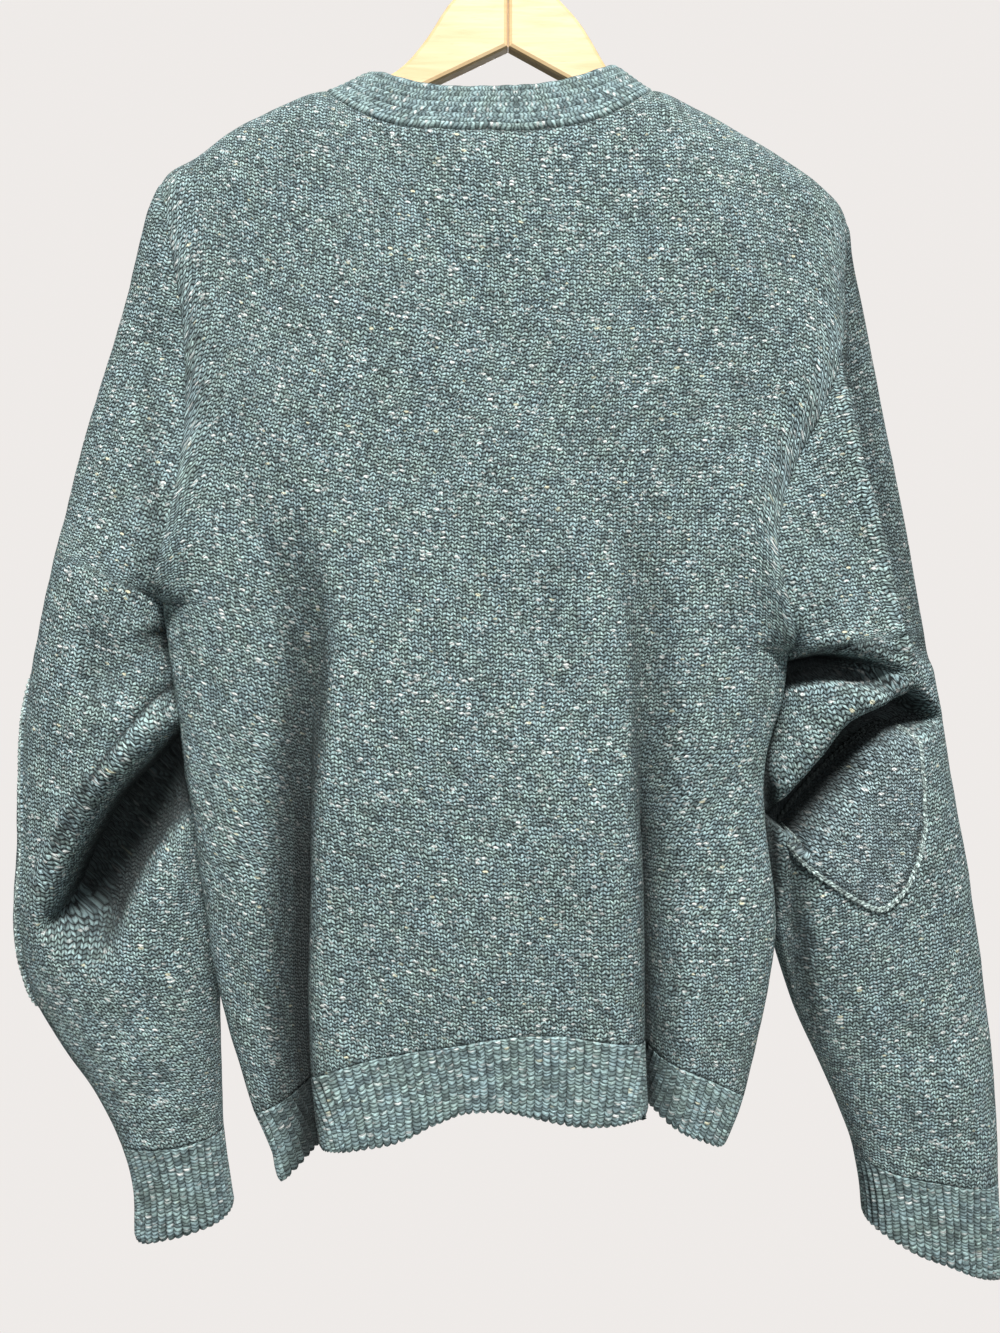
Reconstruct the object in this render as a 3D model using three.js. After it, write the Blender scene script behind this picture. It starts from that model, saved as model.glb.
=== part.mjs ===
// A heavy wool sweater hung by its shoulders on a wooden hanger.
// Millimetres, +Z up. The sweater's back faces -Y and its front +Y, and +X is to the right of a
// person who looks at the back. The origin is where the hanger's hook bears on its rail.
// A "drop" is a distance below the origin, so Z is minus the drop.
//
// Every cloth piece is a surface worked out in rows and columns. Rows run round the body or the
// sleeve, and their number w goes down the cloth: 0 at the shoulder, 1 at the underarm, 2 where the
// ribbing starts and RIB_END at its free edge. Each surface is then thickened to the knit's wall.

import * as THREE from "three";

// ---------------------------------------------------------------- driving dimensions

const WALL = 3; // thickness of the knit
const SEAM_GAP = 0.3; // between neighbouring pieces
const RIB_END = 2.2; // row number of the hem's and the cuffs' free edge

const SHOULDER_ROUNDING = 30; // drop over which the cloth rolls off the hanger's edge
const BODY_SQUARENESS = 4.2; // 2 would make the body's section an ellipse
const SLEEVE_SQUARENESS = 0.88; // 1 would make the sleeves' sections ellipses
const SIDE_REACH = 12; // how far from an armhole its seam draws the panels in

const NECK_LEFT = { x: -120, drop: 149.5 };
const NECK_RIGHT = { x: 95, drop: 149 };
const NECK_JOIN_X = 6; // where the neckband's two lengths meet at the back
const NECK_DIP = 35; // the back neckline below the shoulders' neck points
const V_POINT = { x: -12, drop: 385 };
const BAND_INNER_LEFT = { x: -90, drop: 136 };
const BAND_INNER_RIGHT = { x: 71, drop: 132 };
const BAND_DIP = 20;
const BAND_LEAN = 24; // how far the band's free edge stands behind the hanger
const BAND_V_DROP = V_POINT.drop - 74;

const PATCH_WALL = 2;
const PATCH_GAP = 0.8; // between a sleeve and its patch

const HANGER_THICKNESS = 12;
const HANGER_EDGE = 2.6; // rounding of the wood's edges
const HANGER_TOP = 67; // drop of the wood's crown
const HANGER_CROTCH = 119; // drop of the underside at the centre
const HOOK_WIRE = 3.4;
const HOOK_RADIUS = 20; // of the wire's centre line
const HOOK_TIP = 210; // degrees round the bend from the right-hand side
const HOOK_BEND_END = -40;
const SHANK_TOP = 48; // drop
const ARM_TIP = 26; // how far the arms' rounded tips reach past their upper edges

// Shoulder ridge, where the cloth lies on the hanger: [x, drop].
const ridge = line([
  [-226, 209],
  [-220, 202],
  [-199, 190.5],
  [-180, 176.5],
  [-152, 161.5],
  [NECK_LEFT.x, NECK_LEFT.drop],
  [-12, 146],
  [NECK_RIGHT.x, NECK_RIGHT.drop],
  [125, 161.5],
  [157, 180],
  [193, 204],
  [206, 214],
  [215, 223],
  [220, 234],
]);

// Each sleeve: the armhole seam and the inner line [w, x, drop], the outer line [w, x, drop], and
// the section's half depth and the place of its middle [w, half, y].
const leftSleeve = {
  armhole: line([
    [0, -226, 209],
    [0.12, -219, 235],
    [0.3, -209, 287],
    [0.5, -204, 343],
    [0.75, -207, 413],
    [0.9, -214, 455],
    [1, -222, 484],
  ]),
  inner: line([
    [1, -222, 484],
    [1.04, -227, 500],
    [1.25, -217, 590],
    [1.4, -207, 645],
    [1.55, -199, 690],
    [1.65, -195, 725],
    [1.78, -193, 768],
    [1.9, -192, 806],
    [2, -191, 832],
    [2.1, -188, 860],
    [RIB_END, -184, 886],
  ]),
  outer: line([
    [0, -226, 209],
    [0.12, -233, 228],
    [0.3, -245, 272],
    [0.5, -262, 330],
    [0.75, -280, 390],
    [1, -294, 452],
    [1.15, -306, 514],
    [1.3, -315, 577],
    [1.45, -316, 640],
    [1.58, -321, 695],
    [1.68, -315, 731],
    [1.78, -298, 765],
    [1.9, -270, 804],
    [2, -254, 838],
    [2.1, -246, 868],
    [RIB_END, -245, 901],
  ]),
  depth: line([
    [0, 28, 0],
    [0.5, 31, 0],
    [1, 42, 0],
    [1.3, 46, 0],
    [1.6, 42, 3],
    [1.8, 35, 5],
    [2, 29, 5],
    [RIB_END, 28, 5],
  ]),
};
const rightSleeve = {
  armhole: line([
    [0, 220, 234],
    [0.15, 215, 268],
    [0.35, 211, 325],
    [0.5, 197, 364],
    [0.65, 176, 408],
    [0.8, 166, 450],
    [0.9, 171, 484],
    [1, 180, 516],
  ]),
  inner: line([
    [1, 180, 516],
    [1.04, 186, 532],
    [1.2, 178, 598],
    [1.3, 174, 640],
    [1.42, 175, 675],
    [1.55, 179, 705],
    [1.7, 193, 752],
    [1.85, 212, 796],
    [1.95, 228, 834],
    [2, 232, 848],
    [2.1, 236, 870],
    [RIB_END, 238, 892],
  ]),
  outer: line([
    [0, 220, 234],
    [0.15, 226, 262],
    [0.35, 235, 308],
    [0.5, 243, 352],
    [0.65, 252, 395],
    [0.8, 261, 440],
    [1, 272, 505],
    [1.15, 280, 550],
    [1.3, 288, 600],
    [1.5, 300, 662],
    [1.7, 311, 735],
    [1.85, 318, 795],
    [2, 321, 862],
    [RIB_END, 325, 928],
  ]),
  depth: line([
    [0, 28, 0],
    [0.5, 34, 0],
    [1, 44, 0],
    [1.3, 47, 0],
    [1.6, 44, 3],
    [1.8, 40, 5],
    [2, 33, 5],
    [RIB_END, 31, 5],
  ]),
};

// The body's side seams below the underarm [w, x].
const leftSide = line([
  [1, -222],
  [1.12, -217],
  [1.4, -203],
  [1.55, -196],
  [1.7, -189],
  [1.85, -178],
  [2, -164],
  [2.12, -153],
  [RIB_END, -148],
]);
const rightSide = line([
  [1, 180],
  [1.1, 177],
  [1.25, 165],
  [1.4, 165],
  [1.6, 171],
  [1.8, 164],
  [2, 151],
  [2.12, 144],
  [RIB_END, 139],
]);

// How far the middle of each panel stands off the hanger's plane [w, depth].
const backDepth = line([
  [0, 33],
  [0.25, 37],
  [0.5, 41],
  [1, 48],
  [1.4, 54],
  [1.8, 54],
  [2, 50],
  [RIB_END, 46],
]);
const frontDepth = line([
  [0, 31],
  [0.5, 36],
  [1, 43],
  [1.5, 48],
  [2, 44],
  [RIB_END, 41],
]);

// Drop of the line between panel and welt, and of the hem's free edge, across a panel [u, drop].
const weltTop = line([
  [0, 813],
  [0.03, 808],
  [0.105, 795],
  [0.18, 775],
  [0.34, 765],
  [0.53, 755],
  [0.74, 760],
  [0.83, 772],
  [0.95, 789],
  [1, 800],
]);
const hemEdge = line([
  [0, 858],
  [0.05, 847],
  [0.13, 830],
  [0.28, 822],
  [0.42, 805],
  [0.52, 805],
  [0.64, 813],
  [0.82, 810],
  [0.92, 824],
  [1, 834],
]);

// Folds. Each is a furrow along a line from one place to another [x, drop], bowed towards its steep
// bank. That bank is on the right of a fold that runs down, and above one that runs to the right.
// "steep" and "gentle" are the widths of the two banks, "lip" is how far the steep bank's edge
// swells out, and "fade" says over which share of its length it comes and goes at each end.
const bodyFolds = {
  back: [
    { from: [-128, 440], to: [-120, 870], bow: -2, depth: 17, steep: 9, gentle: 22, lip: 3, fade: [0.2, 0.02] },
    { from: [90, 870], to: [76, 450], bow: -1, depth: 24, steep: 9, gentle: 11, lip: 3, fade: [0.02, 0.25] },
  ],
  front: [
    { from: [-95, 520], to: [-88, 870], bow: 5, depth: 14, steep: 13, gentle: 20, lip: 0, fade: [0.3, 0.02] },
    { from: [62, 870], to: [70, 500], bow: 5, depth: 14, steep: 13, gentle: 20, lip: 0, fade: [0.02, 0.3] },
  ],
};
const leftSleeveFolds = {
  back: [
    { from: [-292, 690], to: [-196, 570], bow: -8, depth: 44, steep: 12, gentle: 34, lip: 7, fade: [0.3, 0.02] },
  ],
  front: [
    { from: [-290, 640], to: [-196, 590], bow: -4, depth: 24, steep: 14, gentle: 22, lip: 4, fade: [0.4, 0.05] },
  ],
};
const rightSleeveFolds = {
  back: [
    { from: [165, 540], to: [280, 538], bow: 8, depth: 38, steep: 11, gentle: 9, lip: 5, fade: [0.05, 0.25] },
    { from: [160, 662], to: [282, 544], bow: 16, depth: 40, steep: 12, gentle: 28, lip: 7, fade: [0.05, 0.3] },
    { from: [260, 520], to: [216, 330], bow: 8, depth: 9, steep: 9, gentle: 24, lip: 2, fade: [0.1, 0.3] },
  ],
  front: [
    { from: [165, 590], to: [285, 600], bow: -4, depth: 24, steep: 14, gentle: 22, lip: 4, fade: [0.05, 0.4] },
  ],
};

// Each elbow patch: its first and last row, and between which of the sleeve's columns it lies there
// and on the rows between.
const leftPatch = { from: 1.19, to: 1.75, atEnds: [7, 10], between: [6, 11] };
const rightPatch = { from: 1.31, to: 1.5, atEnds: [3, 5], between: [2, 5] };

// The hanger's arms: places on the upper edge from the crown to the tip [x, drop], and how much the
// underside drops for each mm outwards.
const leftArm = {
  side: -1,
  slope: 0.475,
  upperEdge: [
    [-15, 69],
    [-37.5, 89],
    [-53.4, 113],
    [-69.5, 131.5],
    [-90, 144],
    [-120, 158.5],
    [-152, 170],
    [-180, 185],
    [-204, 202],
  ],
};
const rightArm = {
  side: 1,
  slope: 0.55,
  upperEdge: [
    [15, 70],
    [35.6, 89.8],
    [49.7, 106.6],
    [67.3, 136],
    [80, 147],
    [95, 158.5],
    [125, 170],
    [157, 188],
    [190, 211.5],
  ],
};

// Rows and columns of the faceted surfaces.
const CAP_ROWS = [0, 0.05, 0.12, 0.22, 0.35, 0.48, 0.61, 0.74, 0.84, 0.92, 0.965, 0.99, 1];
const BODY_ROWS = [1.04, 1.12, 1.24, 1.38, 1.54, 1.7, 1.85, 2];
const SLEEVE_ROWS = [1.04, 1.09, 1.14, 1.19, 1.23, 1.27, 1.31, 1.36, 1.42, 1.5, 1.58, 1.66, 1.75, 1.85, 1.93, 2];
const RIB_ROWS = [2, 2.1, RIB_END];
const SLEEVE_COLUMNS = 16;
const ARMHOLE_FADE = 0.15; // share of the way round a sleeve over which its folds begin
const SHOULDER_SHARES = [0, 0.1, 0.3, 0.5, 0.62, 0.7, 0.78, 0.88]; // from the sleeve to a neck point
const NECK_SHARES = [0, 0.08, 0.22, 0.42, 0.7, 1]; // from a neck point to the join
const V_SHARES = [0, 0.08, 0.24, 0.46, 0.72, 1]; // from a neck point to the V

// ---------------------------------------------------------------- small helpers

// A smooth curve through stations [t, a, b, ...]. It gives a number if each has one value.
function line(stations) {
  const last = stations.length - 1;
  const slopes = stations.map((station, i) => {
    const before = stations[Math.max(i - 1, 0)];
    const after = stations[Math.min(i + 1, last)];
    return station.map((_, k) => (after[k] - before[k]) / (after[0] - before[0]));
  });
  return (t) => {
    const at = Math.min(Math.max(t, stations[0][0]), stations[last][0]);
    let i = 0;
    while (i < last - 1 && at > stations[i + 1][0]) i += 1;
    const [a, b] = [stations[i], stations[i + 1]];
    const span = b[0] - a[0];
    const f = (at - a[0]) / span;
    const values = a.slice(1).map((start, k) => {
      const end = b[k + 1];
      const leave = slopes[i][k + 1] * span;
      const arrive = slopes[i + 1][k + 1] * span;
      const cubic = 2 * start - 2 * end + leave + arrive;
      const square = -3 * start + 3 * end - 2 * leave - arrive;
      return ((cubic * f + square) * f + leave) * f + start;
    });
    return values.length === 1 ? values[0] : values;
  };
}

const mix = (a, b, share) => a + (b - a) * share;

function smoothStep(low, high, value) {
  const f = Math.min(Math.max((value - low) / (high - low), 0), 1);
  return f * f * (3 - 2 * f);
}

// The sine or cosine of a squarish round section.
const squared = (value, squareness) => Math.sign(value) * Math.abs(value) ** squareness;

// 0 on the shoulder ridge and nearly 1 once the cloth hangs free below it.
const rollOff = (drop) => Math.sqrt(1 - Math.exp(-Math.max(drop, 0) / SHOULDER_ROUNDING));

// ---------------------------------------------------------------- folds

// How far a fold moves a place away from the viewer of its side.
function foldDepth(fold, x, drop) {
  const [fromX, fromDrop] = fold.from;
  const [runX, runDrop] = [fold.to[0] - fromX, fold.to[1] - fromDrop];
  const length = Math.hypot(runX, runDrop);
  const along = ((x - fromX) * runX + (drop - fromDrop) * runDrop) / length ** 2;
  const bowed = fold.bow * 4 * along * (1 - along);
  const across = ((x - fromX) * runDrop - (drop - fromDrop) * runX) / length - bowed;
  const width = across > 0 ? fold.steep : fold.gentle;
  const furrow = Math.exp(-((across / width) ** 2));
  const swell = Math.exp(-(((across - 2.3 * fold.steep) / (1.4 * fold.steep)) ** 2));
  const starts = smoothStep(0, fold.fade[0], along);
  const ends = 1 - smoothStep(1 - fold.fade[1], 1, along);
  return (fold.depth * furrow - fold.lip * swell) * starts * ends;
}

// The folds work on a panel's face and die out where the cloth turns round its side. "share" is how
// much of them a place takes.
function folded(point, folds, share = 1) {
  const onBack = point.y < 0;
  const onFace = smoothStep(0, 15, Math.abs(point.y));
  const list = onBack ? folds.back : folds.front;
  const inwards = list.reduce((sum, fold) => sum + foldDepth(fold, point.x, -point.z), 0);
  point.y += (onBack ? 1 : -1) * inwards * onFace * share;
  return point;
}

// ---------------------------------------------------------------- sleeves

// The armhole cuts the sleeve's section open. The cut is a half turn at the shoulder, and it
// closes at the underarm.
function halfCut(w) {
  const closing = Math.min(Math.max((w - 0.75) / 0.25, 0), 1);
  return (Math.PI / 2) * Math.sqrt(1 - closing ** 2);
}

// s goes round the sleeve from the back of the armhole over the outside to its front.
function sleevePoint(sleeve, w, s) {
  const [innerX, innerDrop] = w <= 1 ? sleeve.armhole(w) : sleeve.inner(w);
  const [outerX, outerDrop] = sleeve.outer(w);
  const [half, middle] = sleeve.depth(w);
  const cut = halfCut(w);
  const turn = cut + 2 * (Math.PI - cut) * s;
  const cutEdge = squared(Math.cos(cut), SLEEVE_SQUARENESS);
  const outwards = (cutEdge - squared(Math.cos(turn), SLEEVE_SQUARENESS)) / (cutEdge + 1);
  const offRidge = rollOff(innerDrop - sleeve.armhole(0)[1]);
  return new THREE.Vector3(
    mix(innerX, outerX, outwards),
    middle - half * offRidge * squared(Math.sin(turn), SLEEVE_SQUARENESS),
    -mix(innerDrop, outerDrop, outwards),
  );
}

// ---------------------------------------------------------------- body

const BACK = { sign: -1, armholeEnd: 0, depth: backDepth };
const FRONT = { sign: 1, armholeEnd: 1, depth: frontDepth };

// Share of the way from the left neck point to the right one.
const neckShare = (x) => (x - NECK_LEFT.x) / (NECK_RIGHT.x - NECK_LEFT.x);

// Drop of a panel's upper edge: the shoulders, and between them the neckline.
function upperEdge(panel, x) {
  if (x <= NECK_LEFT.x || x >= NECK_RIGHT.x) return ridge(x);
  const share = neckShare(x);
  if (panel === BACK) {
    const level = mix(NECK_LEFT.drop, NECK_RIGHT.drop, share);
    return level + NECK_DIP * (1 - Math.abs(2 * share - 1) ** 3.2);
  }
  const side = x < V_POINT.x ? NECK_LEFT : NECK_RIGHT;
  return mix(V_POINT.drop, side.drop, (x - V_POINT.x) / (side.x - V_POINT.x));
}

// u goes from the left edge of a panel to its right edge.
function panelPoint(panel, w, u) {
  const left = w <= 1 ? sleevePoint(leftSleeve, w, panel.armholeEnd) : sidePoint(leftSide, w, 0);
  const right = w <= 1 ? sleevePoint(rightSleeve, w, panel.armholeEnd) : sidePoint(rightSide, w, 1);
  if (u === 0) return left;
  if (u === 1) return right;
  const x = mix(left.x, right.x, u);
  const drop = panelDrop(panel, w, u);
  const faceY = panel.sign * panel.depth(w) * rollOff(drop - ridge(x));
  const openSide = 1 - smoothStep(0.6, 1, w);
  const section = (1 - Math.abs(2 * u - 1) ** BODY_SQUARENESS) ** (1 / BODY_SQUARENESS);
  const freeSide = mix(left.y, right.y, u) * openSide;
  const nearLeft = Math.exp((left.x - x) / SIDE_REACH) * left.y * (1 - openSide);
  const nearRight = Math.exp((x - right.x) / SIDE_REACH) * right.y * (1 - openSide);
  const y = mix(freeSide, faceY, section) + nearLeft + nearRight;
  return new THREE.Vector3(x, y, -drop);
}

const sidePoint = (side, w, u) => new THREE.Vector3(side(w), 0, -panelDrop(BACK, w, u));

function panelDrop(panel, w, u) {
  const underarm = mix(leftSleeve.armhole(1)[1], rightSleeve.armhole(1)[1], u);
  if (w > 2) return mix(weltTop(u), hemEdge(u), (w - 2) / (RIB_END - 2));
  if (w > 1) return mix(underarm, weltTop(u), w - 1);
  const topX = mix(leftSleeve.armhole(0)[0], rightSleeve.armhole(0)[0], u);
  const share = mix(armholeShare(leftSleeve, w), armholeShare(rightSleeve, w), u);
  return mix(upperEdge(panel, topX), underarm, share);
}

function armholeShare(sleeve, w) {
  const [start, end] = [sleeve.armhole(0)[1], sleeve.armhole(1)[1]];
  return (sleeve.armhole(w)[1] - start) / (end - start);
}

// Share of a panel's width at the shoulders.
function topShare(x) {
  const [left, right] = [leftSleeve.armhole(0)[0], rightSleeve.armhole(0)[0]];
  return (x - left) / (right - left);
}

// The columns of a panel, as shares of its width at the top: those along each shoulder, and between
// them the given shares of the way from the neck points to the middle of the neckline.
function panelColumns(middleX, shares) {
  const [left, right] = [leftSleeve.armhole(0)[0], rightSleeve.armhole(0)[0]];
  const columns = [];
  for (const share of SHOULDER_SHARES) columns.push(topShare(mix(left, NECK_LEFT.x, share)));
  for (const share of shares) columns.push(topShare(mix(NECK_LEFT.x, middleX, share)));
  for (const share of [...shares].reverse().slice(1)) {
    columns.push(topShare(mix(NECK_RIGHT.x, middleX, share)));
  }
  for (const share of [...SHOULDER_SHARES].reverse()) {
    columns.push(topShare(mix(right, NECK_RIGHT.x, share)));
  }
  return columns;
}

// ---------------------------------------------------------------- neckband

// The band's seam and its free edge, at a share of the way from the left neck point along the back
// neckline to the right one, or down the front from either neck point to the V.
function bandBack(share) {
  const dip = 1 - Math.abs(2 * share - 1) ** 3.2;
  const stand = Math.sqrt(1 - Math.abs(2 * share - 1) ** 6);
  return [
    neckSeam(BACK, mix(NECK_LEFT.x, NECK_RIGHT.x, share)),
    new THREE.Vector3(
      mix(BAND_INNER_LEFT.x, BAND_INNER_RIGHT.x, share),
      -BAND_LEAN * stand,
      -mix(BAND_INNER_LEFT.drop, BAND_INNER_RIGHT.drop, share) - BAND_DIP * dip,
    ),
  ];
}

function bandFront(neck, inner, share) {
  const innerDrop = mix(inner.drop, BAND_V_DROP, share);
  return [
    neckSeam(FRONT, mix(neck.x, V_POINT.x, share)),
    new THREE.Vector3(
      mix(inner.x, V_POINT.x, share),
      frontDepth(0) * rollOff(innerDrop - inner.drop),
      -innerDrop,
    ),
  ];
}

const neckSeam = (panel, x) => panelPoint(panel, 0, topShare(x));

// One length of the band, from the join at the back over the shoulder and down to the V. Its seam
// edge takes the panels' own points, and ribs run along it.
function bandSurface(neck, inner) {
  const joinShare = neckShare(NECK_JOIN_X);
  const end = neck === NECK_LEFT ? 0 : 1;
  const stations = [...NECK_SHARES].reverse().map((share) => bandBack(mix(end, joinShare, share)));
  for (const share of V_SHARES.slice(1)) stations.push(bandFront(neck, inner, share));
  const rows = stations.map(([seam, free]) => [0, 0.5, 1].map((f) => seam.clone().lerp(free, f)));
  return surface(rows, neck === NECK_LEFT ? -1 : 1);
}

// ---------------------------------------------------------------- surfaces and walls

// A surface is a list of points and of triangles whose order says which side is out. Points that
// coincide, as at a pole or where a tube closes, are one point.
function surface(rows, outwards) {
  const points = [];
  const index = new Map();
  const number = rows.map((row) =>
    row.map((point) => {
      const key = keyOf(point);
      if (!index.has(key)) {
        index.set(key, points.length);
        points.push(point);
      }
      return index.get(key);
    }),
  );
  const triangles = [];
  const add = (a, b, c) => {
    if (a !== b && b !== c && a !== c) triangles.push(outwards > 0 ? [a, b, c] : [a, c, b]);
  };
  for (let i = 0; i + 1 < rows.length; i += 1) {
    for (let j = 0; j + 1 < rows[i].length; j += 1) {
      add(number[i][j], number[i + 1][j], number[i + 1][j + 1]);
      add(number[i][j], number[i + 1][j + 1], number[i][j + 1]);
    }
  }
  return { points, triangles };
}

const keyOf = (point) => point.toArray().map((value) => Math.round(value * 100)).join();

// Each point's normal, shared by all the pieces that meet there, so that the walls of two sewn
// pieces end face to face.
function seamNormals(surfaces) {
  const sums = new Map();
  for (const { points, triangles } of surfaces) {
    for (const triangle of triangles) {
      const [a, b, c] = triangle.map((i) => points[i]);
      const area = b.clone().sub(a).cross(c.clone().sub(a));
      for (const point of [a, b, c]) {
        const key = keyOf(point);
        if (!sums.has(key)) sums.set(key, new THREE.Vector3());
        sums.get(key).add(area);
      }
    }
  }
  for (const sum of sums.values()) sum.normalize();
  return (point) => sums.get(keyOf(point));
}

// The edges that only one triangle uses, in that triangle's order and with its third corner.
function freeEdges({ triangles }) {
  const uses = new Map();
  for (const triangle of triangles) {
    for (let k = 0; k < 3; k += 1) {
      const [a, b, c] = [triangle[k], triangle[(k + 1) % 3], triangle[(k + 2) % 3]];
      const key = a < b ? `${a} ${b}` : `${b} ${a}`;
      if (!uses.has(key)) uses.set(key, []);
      uses.get(key).push([a, b, c]);
    }
  }
  return [...uses.values()].filter((list) => list.length === 1).map(([edge]) => edge);
}

// The closed wall round a surface. It starts "inner" mm along the normals and ends "outer" mm. Two
// sewn pieces share their edge's points and normals, so their ends stay face to face when each is
// drawn back by half of the gap.
function wall(piece, normals, inner = -WALL / 2, outer = WALL / 2) {
  const { points, triangles } = piece;
  const edges = freeEdges(piece);
  const drawnIn = points.map(() => new THREE.Vector3());
  for (const [a, b, c] of edges) {
    const along = points[b].clone().sub(points[a]).normalize();
    const inwards = points[c].clone().sub(points[a]);
    inwards.addScaledVector(along, -inwards.dot(along)).normalize();
    for (const i of [a, b]) {
      const across = normals[i].clone().cross(along);
      drawnIn[i].add(across).addScaledVector(inwards, 1 - across.length());
    }
  }
  const places = points.map((point, i) =>
    point.clone().addScaledVector(drawnIn[i], SEAM_GAP / Math.max(drawnIn[i].lengthSq(), 1)),
  );
  const layers = [outer, inner].flatMap((offset) =>
    places.map((place, i) => place.clone().addScaledVector(normals[i], offset)),
  );
  const under = points.length;
  const faces = triangles.flatMap(([a, b, c]) => [
    [a, b, c],
    [a + under, c + under, b + under],
  ]);
  for (const [a, b] of edges) {
    if (keyOf(points[a]) < keyOf(points[b])) {
      faces.push([b, a, a + under], [b, a + under, b + under]);
    } else {
      faces.push([b, a, b + under], [a, a + under, b + under]);
    }
  }
  const geometry = new THREE.BufferGeometry();
  const positions = layers.flatMap((point) => point.toArray());
  geometry.setAttribute("position", new THREE.Float32BufferAttribute(positions, 3));
  geometry.setIndex(faces.flat());
  return geometry;
}

// ---------------------------------------------------------------- the cloth's surfaces

const backColumns = panelColumns(NECK_JOIN_X, NECK_SHARES);
const frontColumns = panelColumns(V_POINT.x, V_SHARES);

const panelSurface = (panel, rows, columns) =>
  surface(
    rows.map((w) => columns.map((u) => folded(panelPoint(panel, w, u), bodyFolds))),
    -panel.sign,
  );

// The points of a sleeve, row by row. Below the underarm each row closes on itself.
function sleeveGrid(sleeve, folds, rows) {
  const shares = Array.from({ length: SLEEVE_COLUMNS + 1 }, (_, j) => j / SLEEVE_COLUMNS);
  return rows.map((w) =>
    shares.map((share) => {
      const s = w >= 1 && share === 1 ? 0 : share;
      const clearOfSeam = w < 1 ? smoothStep(0, ARMHOLE_FADE, Math.min(s, 1 - s)) : 1;
      return folded(sleevePoint(sleeve, w, s), folds, clearOfSeam);
    }),
  );
}

const turnsOut = (sleeve) => (sleeve === leftSleeve ? -1 : 1);

const sleeveSurface = (sleeve, folds, rows) => surface(sleeveGrid(sleeve, folds, rows), turnsOut(sleeve));

// A patch is made from its sleeve's own points, moved out, so that it follows every facet.
function patchWall(sleeve, folds, { from, to, atEnds, between }) {
  const rows = SLEEVE_ROWS.filter((w) => w >= from && w <= to);
  const points = sleeveGrid(sleeve, folds, rows).map((row, i) => {
    const [first, last] = rows[i] === from || rows[i] === to ? atEnds : between;
    return row.map((_, j) => row[Math.min(Math.max(j, first), last)]);
  });
  const piece = surface(points, turnsOut(sleeve));
  const inner = WALL / 2 + PATCH_GAP;
  return wall(piece, piece.points.map(normalAt), inner, inner + PATCH_WALL);
}

const cloth = {
  back_panel: panelSurface(BACK, [...CAP_ROWS, ...BODY_ROWS], backColumns),
  front_panel: panelSurface(FRONT, [...CAP_ROWS, ...BODY_ROWS], frontColumns),
  back_hem_rib: panelSurface(BACK, RIB_ROWS, backColumns),
  front_hem_rib: panelSurface(FRONT, RIB_ROWS, frontColumns),
  sleeve_left: sleeveSurface(leftSleeve, leftSleeveFolds, [...CAP_ROWS, ...SLEEVE_ROWS]),
  sleeve_right: sleeveSurface(rightSleeve, rightSleeveFolds, [...CAP_ROWS, ...SLEEVE_ROWS]),
  cuff_left: sleeveSurface(leftSleeve, leftSleeveFolds, RIB_ROWS),
  cuff_right: sleeveSurface(rightSleeve, rightSleeveFolds, RIB_ROWS),
  neckband_left: bandSurface(NECK_LEFT, BAND_INNER_LEFT),
  neckband_right: bandSurface(NECK_RIGHT, BAND_INNER_RIGHT),
};

const normalAt = seamNormals(Object.values(cloth));

// ---------------------------------------------------------------- hanger

// One arm, cut from a board with rounded edges. The two are glued together at the centre.
function armGeometry({ side, slope, upperEdge: places }) {
  const underside = (x) => -HANGER_CROTCH - slope * Math.abs(x);
  const centre = (side * SEAM_GAP) / 2;
  const [lastX, lastDrop] = places[places.length - 1];
  const tipX = lastX + side * ARM_TIP;
  const outline = new THREE.Shape();
  outline.moveTo(centre, underside(0));
  outline.lineTo(centre, -HANGER_TOP);
  outline.splineThru(places.map(([x, drop]) => new THREE.Vector2(x, -drop)));
  outline.quadraticCurveTo(tipX, (-lastDrop + underside(tipX)) / 2, lastX, underside(lastX));
  const geometry = new THREE.ExtrudeGeometry(outline, {
    depth: HANGER_THICKNESS - 2 * HANGER_EDGE,
    curveSegments: 3,
    bevelThickness: HANGER_EDGE,
    bevelSize: HANGER_EDGE,
    bevelOffset: -HANGER_EDGE,
    bevelSegments: 2,
  });
  geometry.rotateX(Math.PI / 2);
  geometry.translate(0, HANGER_THICKNESS / 2 - HANGER_EDGE, 0);
  return geometry;
}

// The hook: round over the rail from its tip on the left, and back under it to the shank.
function hookGeometry() {
  const middleZ = HOOK_WIRE / 2 - HOOK_RADIUS;
  const bend = [];
  for (let degrees = HOOK_TIP; degrees >= HOOK_BEND_END; degrees -= 25) {
    const angle = THREE.MathUtils.degToRad(degrees);
    const [x, z] = [HOOK_RADIUS * Math.cos(angle), HOOK_RADIUS * Math.sin(angle)];
    bend.push(new THREE.Vector3(x, 0, middleZ + z));
  }
  const shank = [SHANK_TOP, (SHANK_TOP + HANGER_TOP) / 2, HANGER_TOP - SEAM_GAP];
  const path = new THREE.CatmullRomCurve3([...bend, ...shank.map((drop) => new THREE.Vector3(0, 0, -drop))]);
  const section = new THREE.Shape().absarc(0, 0, HOOK_WIRE / 2, 0, 2 * Math.PI);
  return new THREE.ExtrudeGeometry(section, { extrudePath: path, steps: 32, curveSegments: 4 });
}

// ---------------------------------------------------------------- materials

const knit = new THREE.MeshStandardMaterial({ color: 0x5f7473, roughness: 0.95 });
const ribKnit = new THREE.MeshStandardMaterial({ color: 0x596d6c, roughness: 0.95 });
const patchKnit = new THREE.MeshStandardMaterial({ color: 0x4f5f63, roughness: 0.95 });
const wood = new THREE.MeshStandardMaterial({ color: 0xe6cf9c, roughness: 0.55 });
const steel = new THREE.MeshStandardMaterial({ color: 0xb8babc, roughness: 0.3, metalness: 1 });

// ---------------------------------------------------------------- the part

const part = new THREE.Group();

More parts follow.
